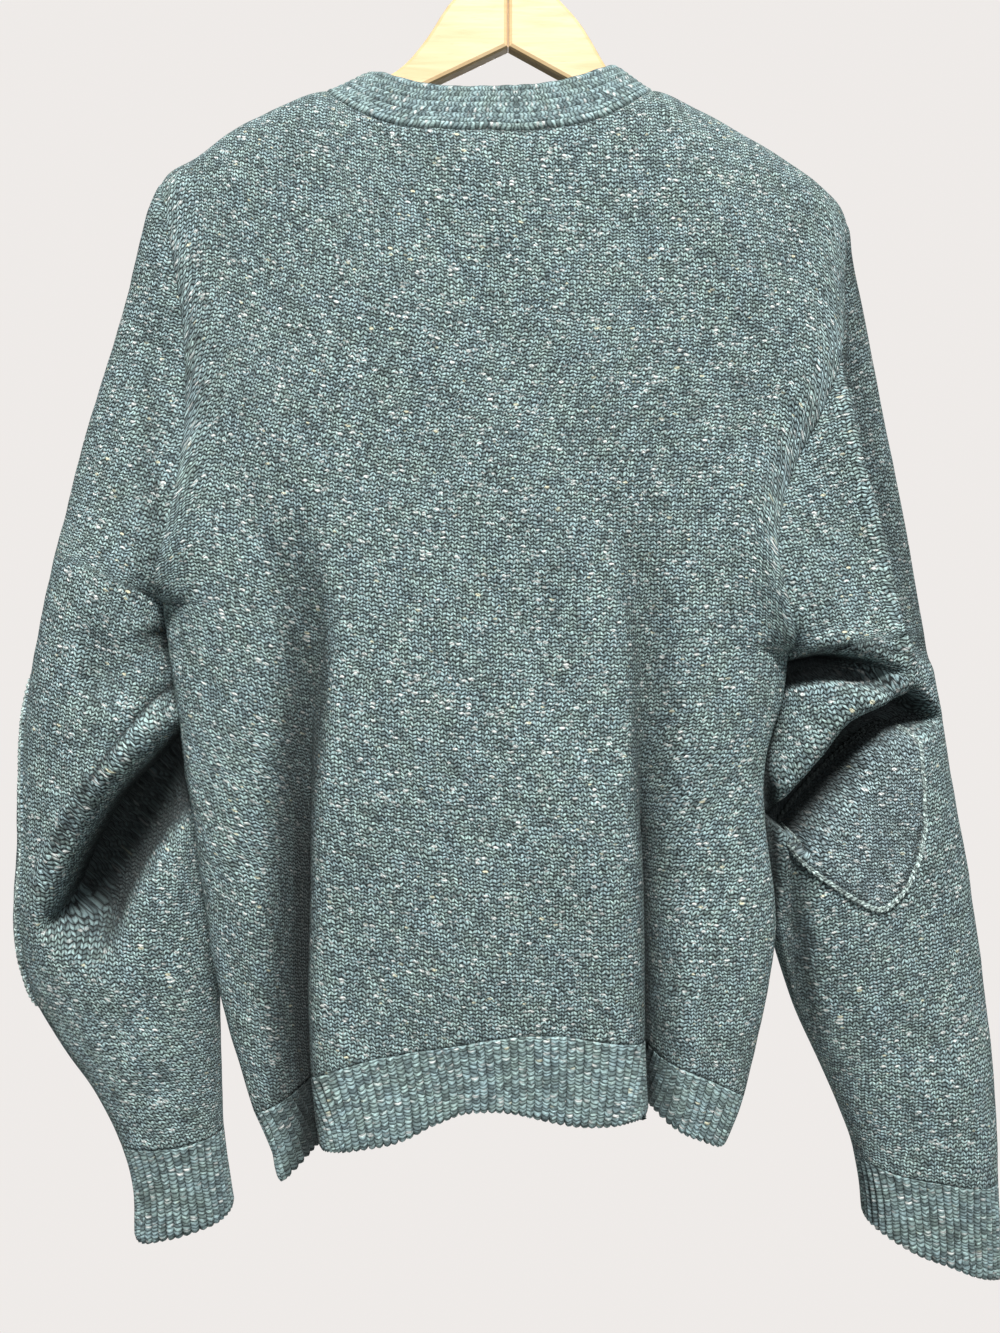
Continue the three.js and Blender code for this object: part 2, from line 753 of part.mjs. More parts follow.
function place(name, geometry, material) {
  const mesh = new THREE.Mesh(geometry, material);
  mesh.name = name;
  part.add(mesh);
}

for (const [name, piece] of Object.entries(cloth)) {
  place(name, wall(piece, piece.points.map(normalAt)), /rib|cuff|band/.test(name) ? ribKnit : knit);
}
place("elbow_patch_left", patchWall(leftSleeve, leftSleeveFolds, leftPatch), patchKnit);
place("elbow_patch_right", patchWall(rightSleeve, rightSleeveFolds, rightPatch), patchKnit);
place("hanger_arm_left", armGeometry(leftArm), wood);
place("hanger_arm_right", armGeometry(rightArm), wood);
place("hanger_hook", hookGeometry(), steel);

export default part;
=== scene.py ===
import math

import bpy
import numpy as np
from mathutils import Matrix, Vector


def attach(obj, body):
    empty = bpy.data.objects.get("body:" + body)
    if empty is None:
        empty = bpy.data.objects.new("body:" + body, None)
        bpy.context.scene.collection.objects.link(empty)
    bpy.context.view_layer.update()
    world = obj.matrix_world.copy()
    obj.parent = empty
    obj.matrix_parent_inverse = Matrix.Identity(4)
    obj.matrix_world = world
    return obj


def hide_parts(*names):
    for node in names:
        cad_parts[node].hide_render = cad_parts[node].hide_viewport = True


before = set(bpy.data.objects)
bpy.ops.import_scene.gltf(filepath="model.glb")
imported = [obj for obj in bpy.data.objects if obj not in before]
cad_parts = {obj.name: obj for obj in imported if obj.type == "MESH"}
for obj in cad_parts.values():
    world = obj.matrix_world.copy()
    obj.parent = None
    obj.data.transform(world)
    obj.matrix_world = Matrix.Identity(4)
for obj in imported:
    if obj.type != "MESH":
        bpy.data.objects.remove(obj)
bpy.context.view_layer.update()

# A heavy wool sweater hung by its shoulders on a wooden hanger, seen from the back.
# The cloth is worked out in millimetres and made in metres. "x" runs to the viewer's right, "y"
# towards the sweater's front, and a "drop" is a distance below the rail. Every knitted piece is a
# grid of points in rows w (0 at the shoulder, 1 at the underarm, 2 where the ribbing starts and
# RIB_END at its free edge) and columns, as its solid is, but far finer and with all its creases.

MM = 0.001

WALL = 3.0  # thickness of the knit
RIB_END = 2.2
SHOULDER_ROUNDING = 30.0
BODY_SQUARENESS = 4.2
SLEEVE_SQUARENESS = 0.88
SIDE_REACH = 12.0

NECK_LEFT = (-120.0, 149.5)  # x, drop
NECK_RIGHT = (95.0, 149.0)
NECK_JOIN_X = 6.0
NECK_DIP = 35.0
V_POINT = (-12.0, 385.0)
BAND_INNER_LEFT = (-90.0, 136.0)
BAND_INNER_RIGHT = (71.0, 132.0)
BAND_DIP = 20.0
BAND_LEAN = 24.0
BAND_V_DROP = V_POINT[1] - 74

WALE = 4.0  # width of a column of stitches
COURSE = 2.5  # height of a row of stitches
RIB_PITCH = 5.1
RIB_DEPTH = 2.2
COLUMNS_A_RIB = 8  # of the mesh
SEAM_REACH = 2.4  # how far from a sewn edge the cloth is drawn in
SEAM_SHADE_REACH = 1.7  # how far from a sewn edge shade is painted into its groove
LINE_REACH = 2.3  # half the width of the line of shade painted in a sharp furrow
ARMHOLE_SEAM = (0.5, 0.12)  # how far it is drawn in, and how much shade is painted along it
NECK_SEAM = (1.6, 0.8)  # the same for the back neckline, for the line where the ribs start, and
RIB_START = (0.1, 0.0)  # for the neckband's seam, its join at the back and its free edge
BAND_SEAM, BAND_JOIN, BAND_EDGE = (1.8, 0.9), (0.8, 0.4), (1.0, 0.0)
PATCH_RISE = 2.6  # of a patch's middle surface above its sleeve's
PATCH_WALL = 2.0

LIP_PLACE, LIP_REACH = 2.3, 1.4  # of a fold's lip, in widths of its steep bank
OVERHANG_PLACE, OVERHANG_REACH = 1.25, 1.1  # and of the cloth that hangs over it
FOLD_START = 15.0  # how far in from the cloth's side its folds reach their full depth
SHADE_START = 5.0  # and their full painted shade
FOLD_LIMIT = 1.5  # their greatest depth, in distances from the middle plane
DEEP_FOLD = 40.0  # folds from this depth on have cloth of their own on their steep bank
BANK_SHARE = 0.55  # how much of that depth is cloth on the bank
FLOOR_SHARE = 0.42  # and over which share of the gentle side it runs out again
NECK_CURVE = 3.2  # how squarely the back neckline dips
CHEST_ROW, UPPER_ARM_ROW, MID_RIB_ROW = 1.45, 1.2, 2.1  # rows in which the columns are even
ROW_SAMPLES = 1200  # places at which such a row's length is measured


# ---------------------------------------------------------------- small helpers


def line(*stations):
    """A smooth curve through stations (t, a, b, ...): an array for each value, or only one."""
    table = np.array(stations, float)
    t, values = table[:, 0], table[:, 1:]
    steps = np.arange(len(t))
    before, after = np.maximum(steps - 1, 0), np.minimum(steps + 1, len(t) - 1)
    slopes = (values[after] - values[before]) / (t[after] - t[before])[:, None]

    def at(where):
        where = np.clip(where, t[0], t[-1])
        i = np.clip(np.searchsorted(t, where, side="right") - 1, 0, len(t) - 2)
        span = (t[i + 1] - t[i])[..., None]
        f = (where - t[i])[..., None] / span
        start, end = values[i], values[i + 1]
        leave, arrive = slopes[i] * span, slopes[i + 1] * span
        cubic = 2 * start - 2 * end + leave + arrive
        square = -3 * start + 3 * end - 2 * leave - arrive
        found = ((cubic * f + square) * f + leave) * f + start
        return found[..., 0] if values.shape[1] == 1 else np.moveaxis(found, -1, 0)

    return at


def mix(a, b, share):
    return a + (b - a) * share


def smooth_step(low, high, value):
    f = np.clip((value - low) / (high - low), 0, 1)
    return f * f * (3 - 2 * f)


def hump(value, width):
    return np.exp(-((value / width) ** 2))


def squared(value, squareness):
    return np.sign(value) * np.abs(value) ** squareness


def roll_off(drop):
    """0 on the shoulder ridge and nearly 1 once the cloth hangs free below it."""
    return np.sqrt(1 - np.exp(-np.maximum(drop, 0) / SHOULDER_ROUNDING))


# ---------------------------------------------------------------- the garment's lines

ridge = line(
    (-226, 209), (-220, 202), (-199, 190.5), (-180, 176.5), (-152, 161.5), NECK_LEFT, (-12, 146),
    NECK_RIGHT, (125, 161.5), (157, 180), (193, 204), (206, 214), (215, 223), (220, 234),
)


class Sleeve:
    """Its armhole seam, inner and outer lines (w, x, drop) and its section (w, half, middle)."""

    def __init__(self, side, armhole, inner, outer, depth):
        self.side = side
        self.armhole, self.inner = line(*armhole), line(*inner)
        self.outer, self.depth = line(*outer), line(*depth)
        self.top = self.armhole(np.array(0.0))
        self.underarm = self.armhole(np.array(1.0))


LEFT_SLEEVE = Sleeve(
    -1,
    armhole=[
        (0, -226, 209), (0.12, -219, 235), (0.3, -209, 287), (0.5, -204, 343),
        (0.75, -207, 413), (0.9, -214, 455), (1, -222, 484),
    ],
    inner=[
        (1, -222, 484), (1.04, -224, 500), (1.25, -212.5, 590), (1.4, -203.5, 645), (1.55, -196.5, 690),
        (1.65, -194, 725), (1.78, -193, 768), (1.9, -192, 806), (2, -191, 832), (2.1, -188, 860),
        (RIB_END, -184, 886),
    ],
    outer=[
        (0, -226, 209), (0.12, -233, 228), (0.3, -245, 272), (0.5, -262, 330), (0.75, -280, 390),
        (1, -294, 452), (1.15, -306, 514), (1.3, -315, 577), (1.45, -316, 640), (1.58, -321, 695),
        (1.68, -315, 731), (1.78, -298, 765), (1.9, -270, 804), (2, -254, 838), (2.1, -246, 868),
        (RIB_END, -245, 901),
    ],
    depth=[
        (0, 28, 0), (0.5, 31, 0), (1, 42, 0), (1.3, 46, 0), (1.6, 42, 3), (1.8, 35, 5),
        (2, 29, 5), (RIB_END, 28, 5),
    ],
)
RIGHT_SLEEVE = Sleeve(
    1,
    armhole=[
        (0, 220, 234), (0.15, 215, 268), (0.35, 211, 325), (0.5, 197, 364), (0.65, 176, 408),
        (0.8, 166, 450), (0.9, 171, 484), (1, 180, 516),
    ],
    inner=[
        (1, 180, 516), (1.04, 182, 532), (1.2, 167.5, 598), (1.3, 165, 640), (1.42, 170, 675),
        (1.55, 177, 705), (1.7, 192, 752), (1.85, 212, 796), (1.95, 228, 834), (2, 232, 848),
        (2.1, 236, 870), (RIB_END, 238, 892),
    ],
    outer=[
        (0, 220, 234), (0.15, 226, 262), (0.35, 235, 308), (0.5, 243, 352), (0.65, 252, 395),
        (0.8, 261, 440), (1, 272, 505), (1.15, 280, 550), (1.3, 288, 600), (1.5, 300, 662),
        (1.7, 311, 735), (1.85, 318, 795), (2, 321, 862), (RIB_END, 325, 928),
    ],
    depth=[
        (0, 28, 0), (0.5, 34, 0), (1, 44, 0), (1.3, 47, 0), (1.6, 44, 3), (1.8, 40, 5),
        (2, 33, 5), (RIB_END, 31, 5),
    ],
)

left_side = line(
    (1, -222), (1.12, -217), (1.4, -203), (1.55, -196), (1.7, -189), (1.85, -178), (2, -164),
    (2.12, -153), (RIB_END, -148),
)
right_side = line(
    (1, 180), (1.1, 177), (1.25, 165), (1.4, 165), (1.6, 171), (1.8, 164), (2, 151),
    (2.12, 144), (RIB_END, 139),
)
back_depth = line((0, 33), (0.25, 37), (0.5, 41), (1, 48), (1.4, 54), (1.8, 54), (2, 50), (RIB_END, 46))
front_depth = line((0, 31), (0.5, 36), (1, 43), (1.5, 48), (2, 44), (RIB_END, 41))
welt_top = line(
    (0, 813), (0.03, 808), (0.105, 795), (0.18, 775), (0.34, 765), (0.53, 755), (0.74, 760),
    (0.83, 772), (0.95, 789), (1, 800),
)
hem_edge = line(
    (0, 858), (0.05, 847), (0.13, 830), (0.28, 822), (0.42, 805), (0.52, 805), (0.64, 813),
    (0.82, 810), (0.92, 824), (1, 834),
)


# ---------------------------------------------------------------- folds


class Fold:
    """A furrow along a path of places (x, drop), on the back of the cloth or on its front.

    Its steep bank is on the right of a path that runs down, and above one that runs to the right.
    "lip" is how far that bank's edge swells out and "overhang" how far it hangs over the furrow.
    Above 2, "flatness" gives the furrow a flat floor. "fade" says over which share of its length it
    comes and goes at each end, and "dark" how much shade is painted on its floor."""

    def __init__(
        self, path, depth, steep, gentle, lip=0.0, overhang=0.0, flatness=2, fade=(0.2, 0.2), dark=0.0
    ):
        path = np.array(path, float)
        self.start, run = path[0], path[-1] - path[0]
        self.length = np.hypot(*run)
        self.run = run / self.length
        along, across = self.shares(path[:, 0], path[:, 1])
        self.bowed = line(*zip(along, across))
        self.depth, self.steep, self.gentle = depth, steep, gentle
        self.lip, self.overhang, self.flatness, self.fade = lip, overhang, flatness, fade
        self.dark = dark

    def shares(self, x, drop):
        """The share of the way along it, and the distance to its right, of places."""
        dx, dd = x - self.start[0], drop - self.start[1]
        return (dx * self.run[0] + dd * self.run[1]) / self.length, dx * self.run[1] - dd * self.run[0]

    def profile(self, x, drop):
        """The distance to its right of places, how far they are into it, and how far it has faded."""
        along, across = self.shares(x, drop)
        across = across - self.bowed(along)
        window = smooth_step(0, self.fade[0], along) * (1 - smooth_step(1 - self.fade[1], 1, along))
        furrow = np.where(
            across > 0,
            hump(across, self.steep),
            np.exp(-(np.abs(across) / self.gentle) ** self.flatness),
        )
        return across, furrow, window

    def moves(self, x, drop):
        """How far it moves places: x, drop and inwards."""
        across, furrow, window = self.profile(x, drop)
        swell = hump(across - LIP_PLACE * self.steep, LIP_REACH * self.steep)
        over = hump(across - OVERHANG_PLACE * self.steep, OVERHANG_REACH * self.steep)
        over = -self.overhang * over * window
        inwards = (self.depth * furrow - self.lip * swell) * window
        return over * self.run[1], -over * self.run[0], inwards

    # The shade painted in the furrow, fading with it.
    def darkness(self, x, drop):
        _, furrow, window = self.profile(x, drop)
        return self.dark * smooth_step(0.05, 0.6, furrow) * window**0.7


# Slow waves that keep the cloth from hanging flat: wave length along x, along the drop, start, size.
SLOW_WAVES = [
    (190, 260, 0.4, 1.5), (-120, 170, 2.1, 1.1), (74, -140, 4.0, 0.7), (45, 66, 1.3, 0.45),
    (-31, 52, 5.2, 0.35), (27, -23, 3.3, 0.25),
]


def slow_waves(x, drop):
    turns = [2 * math.pi * (x / a + drop / b) + start for a, b, start, _ in SLOW_WAVES]
    return sum(size * np.sin(turn) for turn, (*_, size) in zip(turns, SLOW_WAVES))


# Folds that cross the armhole seams, shared by the back panel and the sleeves.
SHOULDER_FOLDS = [
    Fold([(-176, 168), (-196, 260), (-192, 400)], 3.0, 14, 20, fade=(0.4, 0.5)),
    Fold([(-150, 250), (-172, 470)], 2.5, 20, 26, fade=(0.4, 0.4)),
    Fold([(200, 200), (170, 330), (150, 440)], 3.0, 24, 20, fade=(0.3, 0.4)),
    Fold([(140, 560), (120, 700)], 3.5, 18, 24, fade=(0.4, 0.4)),
]
BODY_FOLDS = {
    -1: SHOULDER_FOLDS + [
        Fold([(-138, 400), (-120, 500), (-126, 640), (-127, 780), (-116, 880)], 17, 9, 22,
             lip=3, fade=(0.35, 0.02), dark=0.75),
        Fold([(-124, 480), (-125, 640), (-126, 780), (-116, 880)], 27, 5, 15, overhang=4,
             fade=(0.45, 0.02), dark=1.0),
        Fold([(93, 880), (86, 780), (83, 640), (83, 520), (70, 400)], 14, 9, 20,
             lip=3, fade=(0.02, 0.35), dark=0.45),
        Fold([(93, 880), (86, 780), (83, 640), (82, 540)], 31, 5, 8, overhang=6,
             fade=(0.02, 0.4), dark=0.85),
        Fold([(-60, 620), (-50, 860)], 4, 20, 26, fade=(0.4, 0.05)),
        Fold([(20, 640), (26, 860)], 4, 22, 20, fade=(0.4, 0.05)),
        Fold([(-178, 640), (-150, 850)], 4, 10, 14, fade=(0.3, 0.05)),
        Fold([(128, 700), (122, 860)], 5, 10, 14, fade=(0.3, 0.05)),
    ],
    1: [
        Fold([(-95, 520), (-84, 700), (-88, 880)], 14, 13, 20, fade=(0.3, 0.02)),
        Fold([(62, 880), (60, 700), (70, 500)], 14, 13, 20, fade=(0.02, 0.3)),
        Fold([(-30, 560), (-20, 860)], 4, 24, 30, fade=(0.4, 0.05)),
        Fold([(-170, 330), (-120, 560)], 5, 16, 22, fade=(0.3, 0.4)),
        Fold([(130, 560), (170, 360)], 5, 18, 16, fade=(0.3, 0.4)),
    ],
}
LEFT_SLEEVE_FOLDS = {
    -1: [
        Fold([(-296, 700), (-280, 653), (-255, 608), (-233, 583), (-206, 550), (-186, 531)], 58, 4, 44,
             lip=8, overhang=7, flatness=6, fade=(0.2, 0.02), dark=1.0),
        Fold([(-284, 640), (-256, 592), (-209, 521)], 4.5, 2.6, 2.6, fade=(0.1, 0.02)),
        Fold([(-229, 340), (-224, 400), (-216, 470)], 4.0, 4, 8, lip=1.6, fade=(0.3, 0.1), dark=0.25),
        Fold([(-242, 512), (-222, 504), (-198, 498)], 14, 4, 9, lip=2, fade=(0.6, 0.02), dark=0.85),
        Fold([(-262, 486), (-256, 520), (-262, 560)], 7, 10, 9, fade=(0.4, 0.4), dark=0.2),
        Fold([(-250, 560), (-238, 500)], 5, 14, 12, fade=(0.4, 0.4)),
        Fold([(-222, 556), (-203, 520)], 5, 4, 8, fade=(0.4, 0.1)),
        Fold([(-300, 600), (-262, 560)], 3, 14, 16, fade=(0.3, 0.4)),
        Fold([(-268, 760), (-214, 740)], 4, 14, 18, fade=(0.3, 0.3)),
        Fold([(-246, 800), (-200, 792)], 3, 10, 12, fade=(0.3, 0.3)),
    ],
    1: [
        Fold([(-290, 640), (-243, 612), (-196, 590)], 8, 14, 22, lip=2, fade=(0.4, 0.05)),
        Fold([(-280, 730), (-205, 700)], 8, 12, 18, lip=2, fade=(0.3, 0.2)),
        Fold([(-290, 560), (-215, 530)], 6, 12, 18, lip=2, fade=(0.3, 0.2)),
    ],
}
RIGHT_SLEEVE_FOLDS = {
    -1: [
        Fold([(156, 531), (175, 526), (189, 520.5), (205, 518), (222, 521), (240, 527), (256, 534)],
             50, 3.5, 17, lip=6, overhang=2, flatness=5, fade=(0.03, 0.5), dark=1.0),
        Fold([(170, 626), (178, 611), (189, 596), (201, 580), (215, 561), (241, 548), (262, 539)],
             60, 5, 24, lip=7, overhang=5, flatness=5, fade=(0.03, 0.1), dark=1.0),
        Fold([(262, 532), (252, 508), (238, 442), (223, 388), (215, 346), (211, 297), (213, 240)],
             19, 3.5, 20, lip=3, overhang=4, fade=(0.06, 0.12), dark=0.5),
        Fold([(176, 524), (210, 512), (256, 520)], 1.6, 1.8, 1.8, fade=(0.1, 0.1)),
        Fold([(180, 618), (184, 690), (196, 760), (206, 790)], 11, 7, 5, lip=1, fade=(0.08, 0.4), dark=0.55),
        Fold([(181, 528), (176, 556), (169, 588), (170, 616), (173, 640), (174, 690), (172, 730)],
             16, 2.6, 8, fade=(0.03, 0.1), dark=0.95),
        Fold([(228, 760), (292, 770)], 4, 16, 20, fade=(0.3, 0.3)),
        Fold([(246, 830), (306, 822)], 3, 12, 14, fade=(0.3, 0.3)),
    ],
    1: [
        Fold([(165, 590), (225, 592), (285, 600)], 8, 14, 22, lip=2, fade=(0.05, 0.4)),
        Fold([(190, 700), (290, 716)], 8, 12, 18, lip=2, fade=(0.2, 0.3)),
        Fold([(190, 530), (270, 548)], 6, 12, 18, lip=2, fade=(0.2, 0.3)),
    ],
}


def folded(points, folds, share=1.0):
    """Moves points by the folds of their side. They die out where the cloth turns round its side."""
    x, y, drop = points[..., 0], points[..., 1], -points[..., 2]
    on_face = smooth_step(0, FOLD_START, np.abs(y)) * share
    moved = points.copy()
    for side, its_folds in folds.items():
        here = on_face * (y * side > 0)
        inwards = slow_waves(x + 400 * (side > 0), drop) * here
        for fold in its_folds:
            by_x, by_drop, by_depth = fold.moves(x, drop)
            moved[..., 0] += by_x * here
            moved[..., 2] -= by_drop * here
            inwards = inwards + by_depth * here
        deepest = FOLD_LIMIT * np.abs(y) + 1e-6
        moved[..., 1] -= side * deepest * np.tanh(inwards / deepest)
    return moved


def banked(fabric, points, folds, sleeve_side):
    """A sleeve's fabric map, with the cloth that goes down its deep folds' steep banks added to it."""
    x, y, drop = points[..., 0], points[..., 1], -points[..., 2]
    on_face = smooth_step(0, FOLD_START, np.abs(y))
    for side, its_folds in folds.items():
        for fold in its_folds:
            if fold.depth < DEEP_FOLD:
                continue
            across, furrow, window = fold.profile(x, drop)
            bank = np.where(across > 0, furrow, hump(across, FLOOR_SHARE * fold.gentle))
            extra = BANK_SHARE * fold.depth * bank * window * on_face * (y * side > 0)
            fabric[..., 0] += sleeve_side * side * fold.run[1] * extra
            fabric[..., 1] += fold.run[0] * extra
    return fabric


def painted_hollow_shade(points, folds):
    """The shade painted on the cloth inside its folds, from its places before they are folded."""
    x, y, drop = points[..., 0], points[..., 1], -points[..., 2]
    on_face = smooth_step(0, SHADE_START, np.abs(y))
    shade = np.zeros(x.shape)
    for side, its_folds in folds.items():
        for fold in its_folds:
            shade = np.maximum(shade, fold.darkness(x, drop) * on_face * (y * side > 0))
    return shade


# ---------------------------------------------------------------- the cloth's surfaces


def sleeve_point(sleeve, w, s):
    """s goes round the sleeve from the back of the armhole over the outside to its front."""
    w, s = np.broadcast_arrays(np.asarray(w, float), np.asarray(s, float))
    inner_x, inner_drop = np.where(w <= 1, sleeve.armhole(w), sleeve.inner(w))
    outer_x, outer_drop = sleeve.outer(w)
    half, middle = sleeve.depth(w)
    closing = np.clip((w - 0.75) / 0.25, 0, 1)
    cut = math.pi / 2 * np.sqrt(1 - closing**2)
    turn = cut + 2 * (math.pi - cut) * s
    cut_edge = squared(np.cos(cut), SLEEVE_SQUARENESS)
    outwards = (cut_edge - squared(np.cos(turn), SLEEVE_SQUARENESS)) / (cut_edge + 1)
    off_ridge = roll_off(inner_drop - sleeve.top[1])
    x = mix(inner_x, outer_x, outwards)
    y = middle - half * off_ridge * squared(np.sin(turn), SLEEVE_SQUARENESS)
    return np.stack([x, y, -mix(inner_drop, outer_drop, outwards)], -1)


class Panel:
    """side is -1 for the back and 1 for the front."""

    def __init__(self, side, depth):
        self.side, self.depth = side, depth
        self.armhole_end = 0 if side < 0 else 1

    def upper_edge(self, x):
        share = (x - NECK_LEFT[0]) / (NECK_RIGHT[0] - NECK_LEFT[0])
        if self.side < 0:
            level = mix(NECK_LEFT[1], NECK_RIGHT[1], share)
            neckline = level + NECK_DIP * (1 - np.abs(2 * share - 1) ** NECK_CURVE)
        else:
            side_x = np.where(x < V_POINT[0], NECK_LEFT[0], NECK_RIGHT[0])
            side_drop = np.where(x < V_POINT[0], NECK_LEFT[1], NECK_RIGHT[1])
            neckline = mix(V_POINT[1], side_drop, (x - V_POINT[0]) / (side_x - V_POINT[0]))
        return np.where((share <= 0) | (share >= 1), ridge(x), neckline)

    def drop(self, w, u):
        underarm = mix(LEFT_SLEEVE.underarm[1], RIGHT_SLEEVE.underarm[1], u)
        on_rib = mix(welt_top(u), hem_edge(u), (w - 2) / (RIB_END - 2))
        below = mix(underarm, welt_top(u), w - 1)
        shares = []
        for sleeve in (LEFT_SLEEVE, RIGHT_SLEEVE):
            start, end = sleeve.top[1], sleeve.underarm[1]
            shares.append((sleeve.armhole(np.minimum(w, 1))[1] - start) / (end - start))
        top_x = mix(LEFT_SLEEVE.top[0], RIGHT_SLEEVE.top[0], u)
        above = mix(self.upper_edge(top_x), underarm, mix(*shares, u))
        return np.where(w > 2, on_rib, np.where(w > 1, below, above))

    def side_seam(self, sleeve, side_line, w, u):
        low = np.stack([side_line(w), 0 * w, -BACK.drop(w, u)], -1)
        armhole = sleeve_point(sleeve, np.minimum(w, 1), self.armhole_end)
        return np.where((w <= 1)[..., None], armhole, low)

    def point(self, w, u):
        """u goes from its left edge to its right edge."""
        w, u = np.broadcast_arrays(np.asarray(w, float), np.asarray(u, float))
        left = self.side_seam(LEFT_SLEEVE, left_side, w, 0 * u)
        right = self.side_seam(RIGHT_SLEEVE, right_side, w, 0 * u + 1)
        x = mix(left[..., 0], right[..., 0], u)
        drop = self.drop(w, u)
        face = self.side * self.depth(w) * roll_off(drop - ridge(x))
        open_side = 1 - smooth_step(0.6, 1, w)
        section = (1 - np.abs(2 * u - 1) ** BODY_SQUARENESS) ** (1 / BODY_SQUARENESS)
        free_side = mix(left[..., 1], right[..., 1], u) * open_side
        near_left = np.exp((left[..., 0] - x) / SIDE_REACH) * left[..., 1] * (1 - open_side)
        near_right = np.exp((x - right[..., 0]) / SIDE_REACH) * right[..., 1] * (1 - open_side)
        y = mix(free_side, face, section) + near_left + near_right
        points = np.stack([x, y, -drop], -1)
        points = np.where((u == 0)[..., None], left, points)
        return np.where((u == 1)[..., None], right, points)


BACK = Panel(-1, back_depth)
FRONT = Panel(1, front_depth)


def top_share(x):
    return (x - LEFT_SLEEVE.top[0]) / (RIGHT_SLEEVE.top[0] - LEFT_SLEEVE.top[0])


def band_back(share):
    """The neckband's seam and free edge, at shares of the way along the back neckline."""
    dip = 1 - np.abs(2 * share - 1) ** NECK_CURVE
    stand = np.sqrt(1 - np.abs(2 * share - 1) ** 6)
    x = mix(NECK_LEFT[0], NECK_RIGHT[0], share)
    free_x = mix(BAND_INNER_LEFT[0], BAND_INNER_RIGHT[0], share)
    drop = mix(BAND_INNER_LEFT[1], BAND_INNER_RIGHT[1], share) + BAND_DIP * dip
    free = np.stack([free_x, -BAND_LEAN * stand, -drop], -1)
    return folded(BACK.point(0.0, top_share(x)), BODY_FOLDS), free


def band_front(neck, inner, share):
    """The same, at shares of the way down the front from a neck point to the V."""
    drop = mix(inner[1], BAND_V_DROP, share)
    forwards = front_depth(0 * share) * roll_off(drop - inner[1])
    free = np.stack([mix(inner[0], V_POINT[0], share), forwards, -drop], -1)
    x = mix(neck[0], V_POINT[0], share)
    return folded(FRONT.point(0.0, top_share(x)), BODY_FOLDS), free


# ---------------------------------------------------------------- meshes


def steps_along(points, axis):
    """Distance from the first point, along one axis of a grid."""
    lengths = np.linalg.norm(np.diff(points, axis=axis), axis=-1)
    start = np.zeros_like(np.take(lengths, [0], axis=axis))
    return np.concatenate([start, np.cumsum(lengths, axis=axis)], axis=axis)


def even_shares(make_row, count):
    """Shares that cut a row into equal lengths of cloth."""
    dense = np.linspace(0.0, 1.0, ROW_SAMPLES)
    length = steps_along(make_row(dense), 0)
    return np.interp(np.linspace(0, length[-1], count), length, dense)


def outward_normals(points, outwards, closed=False):
    if closed:
        wrapped = np.concatenate([points[:, -2:-1], points, points[:, 1:2]], axis=1)
        across = np.gradient(wrapped, axis=1)[:, 1:-1]
    else:
        across = np.gradient(points, axis=1)
    normal = np.cross(across, np.gradient(points, axis=0)) * outwards
    return normal / np.maximum(np.linalg.norm(normal, axis=-1, keepdims=True), 1e-9)


def mesh_of(name, points, fabric, shade):
    """A mesh on a grid of points: its map "fabric" is in mm of cloth, "shade" is the shade painted on it."""
    rows, columns = points.shape[:2]
    flat = points.reshape(-1, 3)
    _, first, number = np.unique(np.round(flat * 100), axis=0, return_index=True, return_inverse=True)
    number = number.reshape(rows, columns)
    grid = np.arange(rows * columns).reshape(rows, columns)
    corners = np.stack([grid[:-1, :-1], grid[1:, :-1], grid[1:, 1:], grid[:-1, 1:]], -1).reshape(-1, 4)
    ids = number.ravel()[corners]
    whole = (np.diff(np.sort(ids, axis=1), axis=1) > 0).all(axis=1)
    faces, sources = ids[whole].tolist(), corners[whole].ravel().tolist()
    for face, source in zip(ids[~whole], corners[~whole]):
        kept = [k for k in range(4) if face[k] != face[k - 1]]
        if len(kept) == 3:
            faces.append([int(face[k]) for k in kept])
            sources.extend(int(source[k]) for k in kept)
    mesh = bpy.data.meshes.new(name)
    mesh.from_pydata((flat[first] * MM).tolist(), [], faces)
    layer = mesh.uv_layers.new(name="fabric")
    layer.data.foreach_set("uv", fabric.reshape(-1, 2)[sources].astype(np.float32).ravel())
    dark = mesh.attributes.new("shade", "FLOAT", "POINT")
    dark.data.foreach_set("value", shade.reshape(-1)[first].astype(np.float32))
    mesh.shade_smooth()
    obj = bpy.data.objects.new(name, mesh)
    bpy.context.scene.collection.objects.link(obj)
    return obj


def finish_cloth(obj, material, stands_for, wall=WALL):
    """Gives a sheet its thickness and material, puts it on the root body and hides the solid it stands for.
    """
    solid = obj.modifiers.new("wall", "SOLIDIFY")
    solid.thickness = wall * MM
    solid.offset = 0
    solid.use_even_offset = False
    obj.data.materials.append(material)
    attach(obj, "root")
    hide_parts(stands_for)
    return obj


def cloth(name, points, outwards, fabric, seams, hollows, relief=None, lines=(), closed=False):
    """A knitted sheet. Each of its seams is each point's distance from it, how far it is drawn in
    and how much shade is painted along it. "hollows" is the shade painted inside its folds, "relief" the
    height of its ribs and the shade painted in their grooves, and each of its lines a fold with a line of
    shade painted in it, its side and how dark it is."""
    normals = outward_normals(points, outwards, closed)
    rise = np.zeros(points.shape[:2]) if relief is None else relief[0]
    shade = hollows if relief is None else np.maximum(hollows, relief[1])
    for distance, dip, dark in seams:
        rise = rise - dip * hump(distance, SEAM_REACH)
        shade = np.maximum(shade, dark * hump(distance, SEAM_SHADE_REACH))
    for fold, side, dark in lines:
        along, across = fold.shares(points[..., 0], -points[..., 2])
        on_line = (along > 0) & (along < 1) & (points[..., 1] * side > 0)
        shade = np.maximum(shade, dark * hump(across - fold.bowed(along), LINE_REACH) * on_line)
    if outwards < 0:
        points, normals, fabric, rise, shade = (
            np.flip(a, axis=1) for a in (points, normals, fabric, rise, shade)
        )
    return mesh_of(name, points + normals * rise[..., None], fabric, shade)


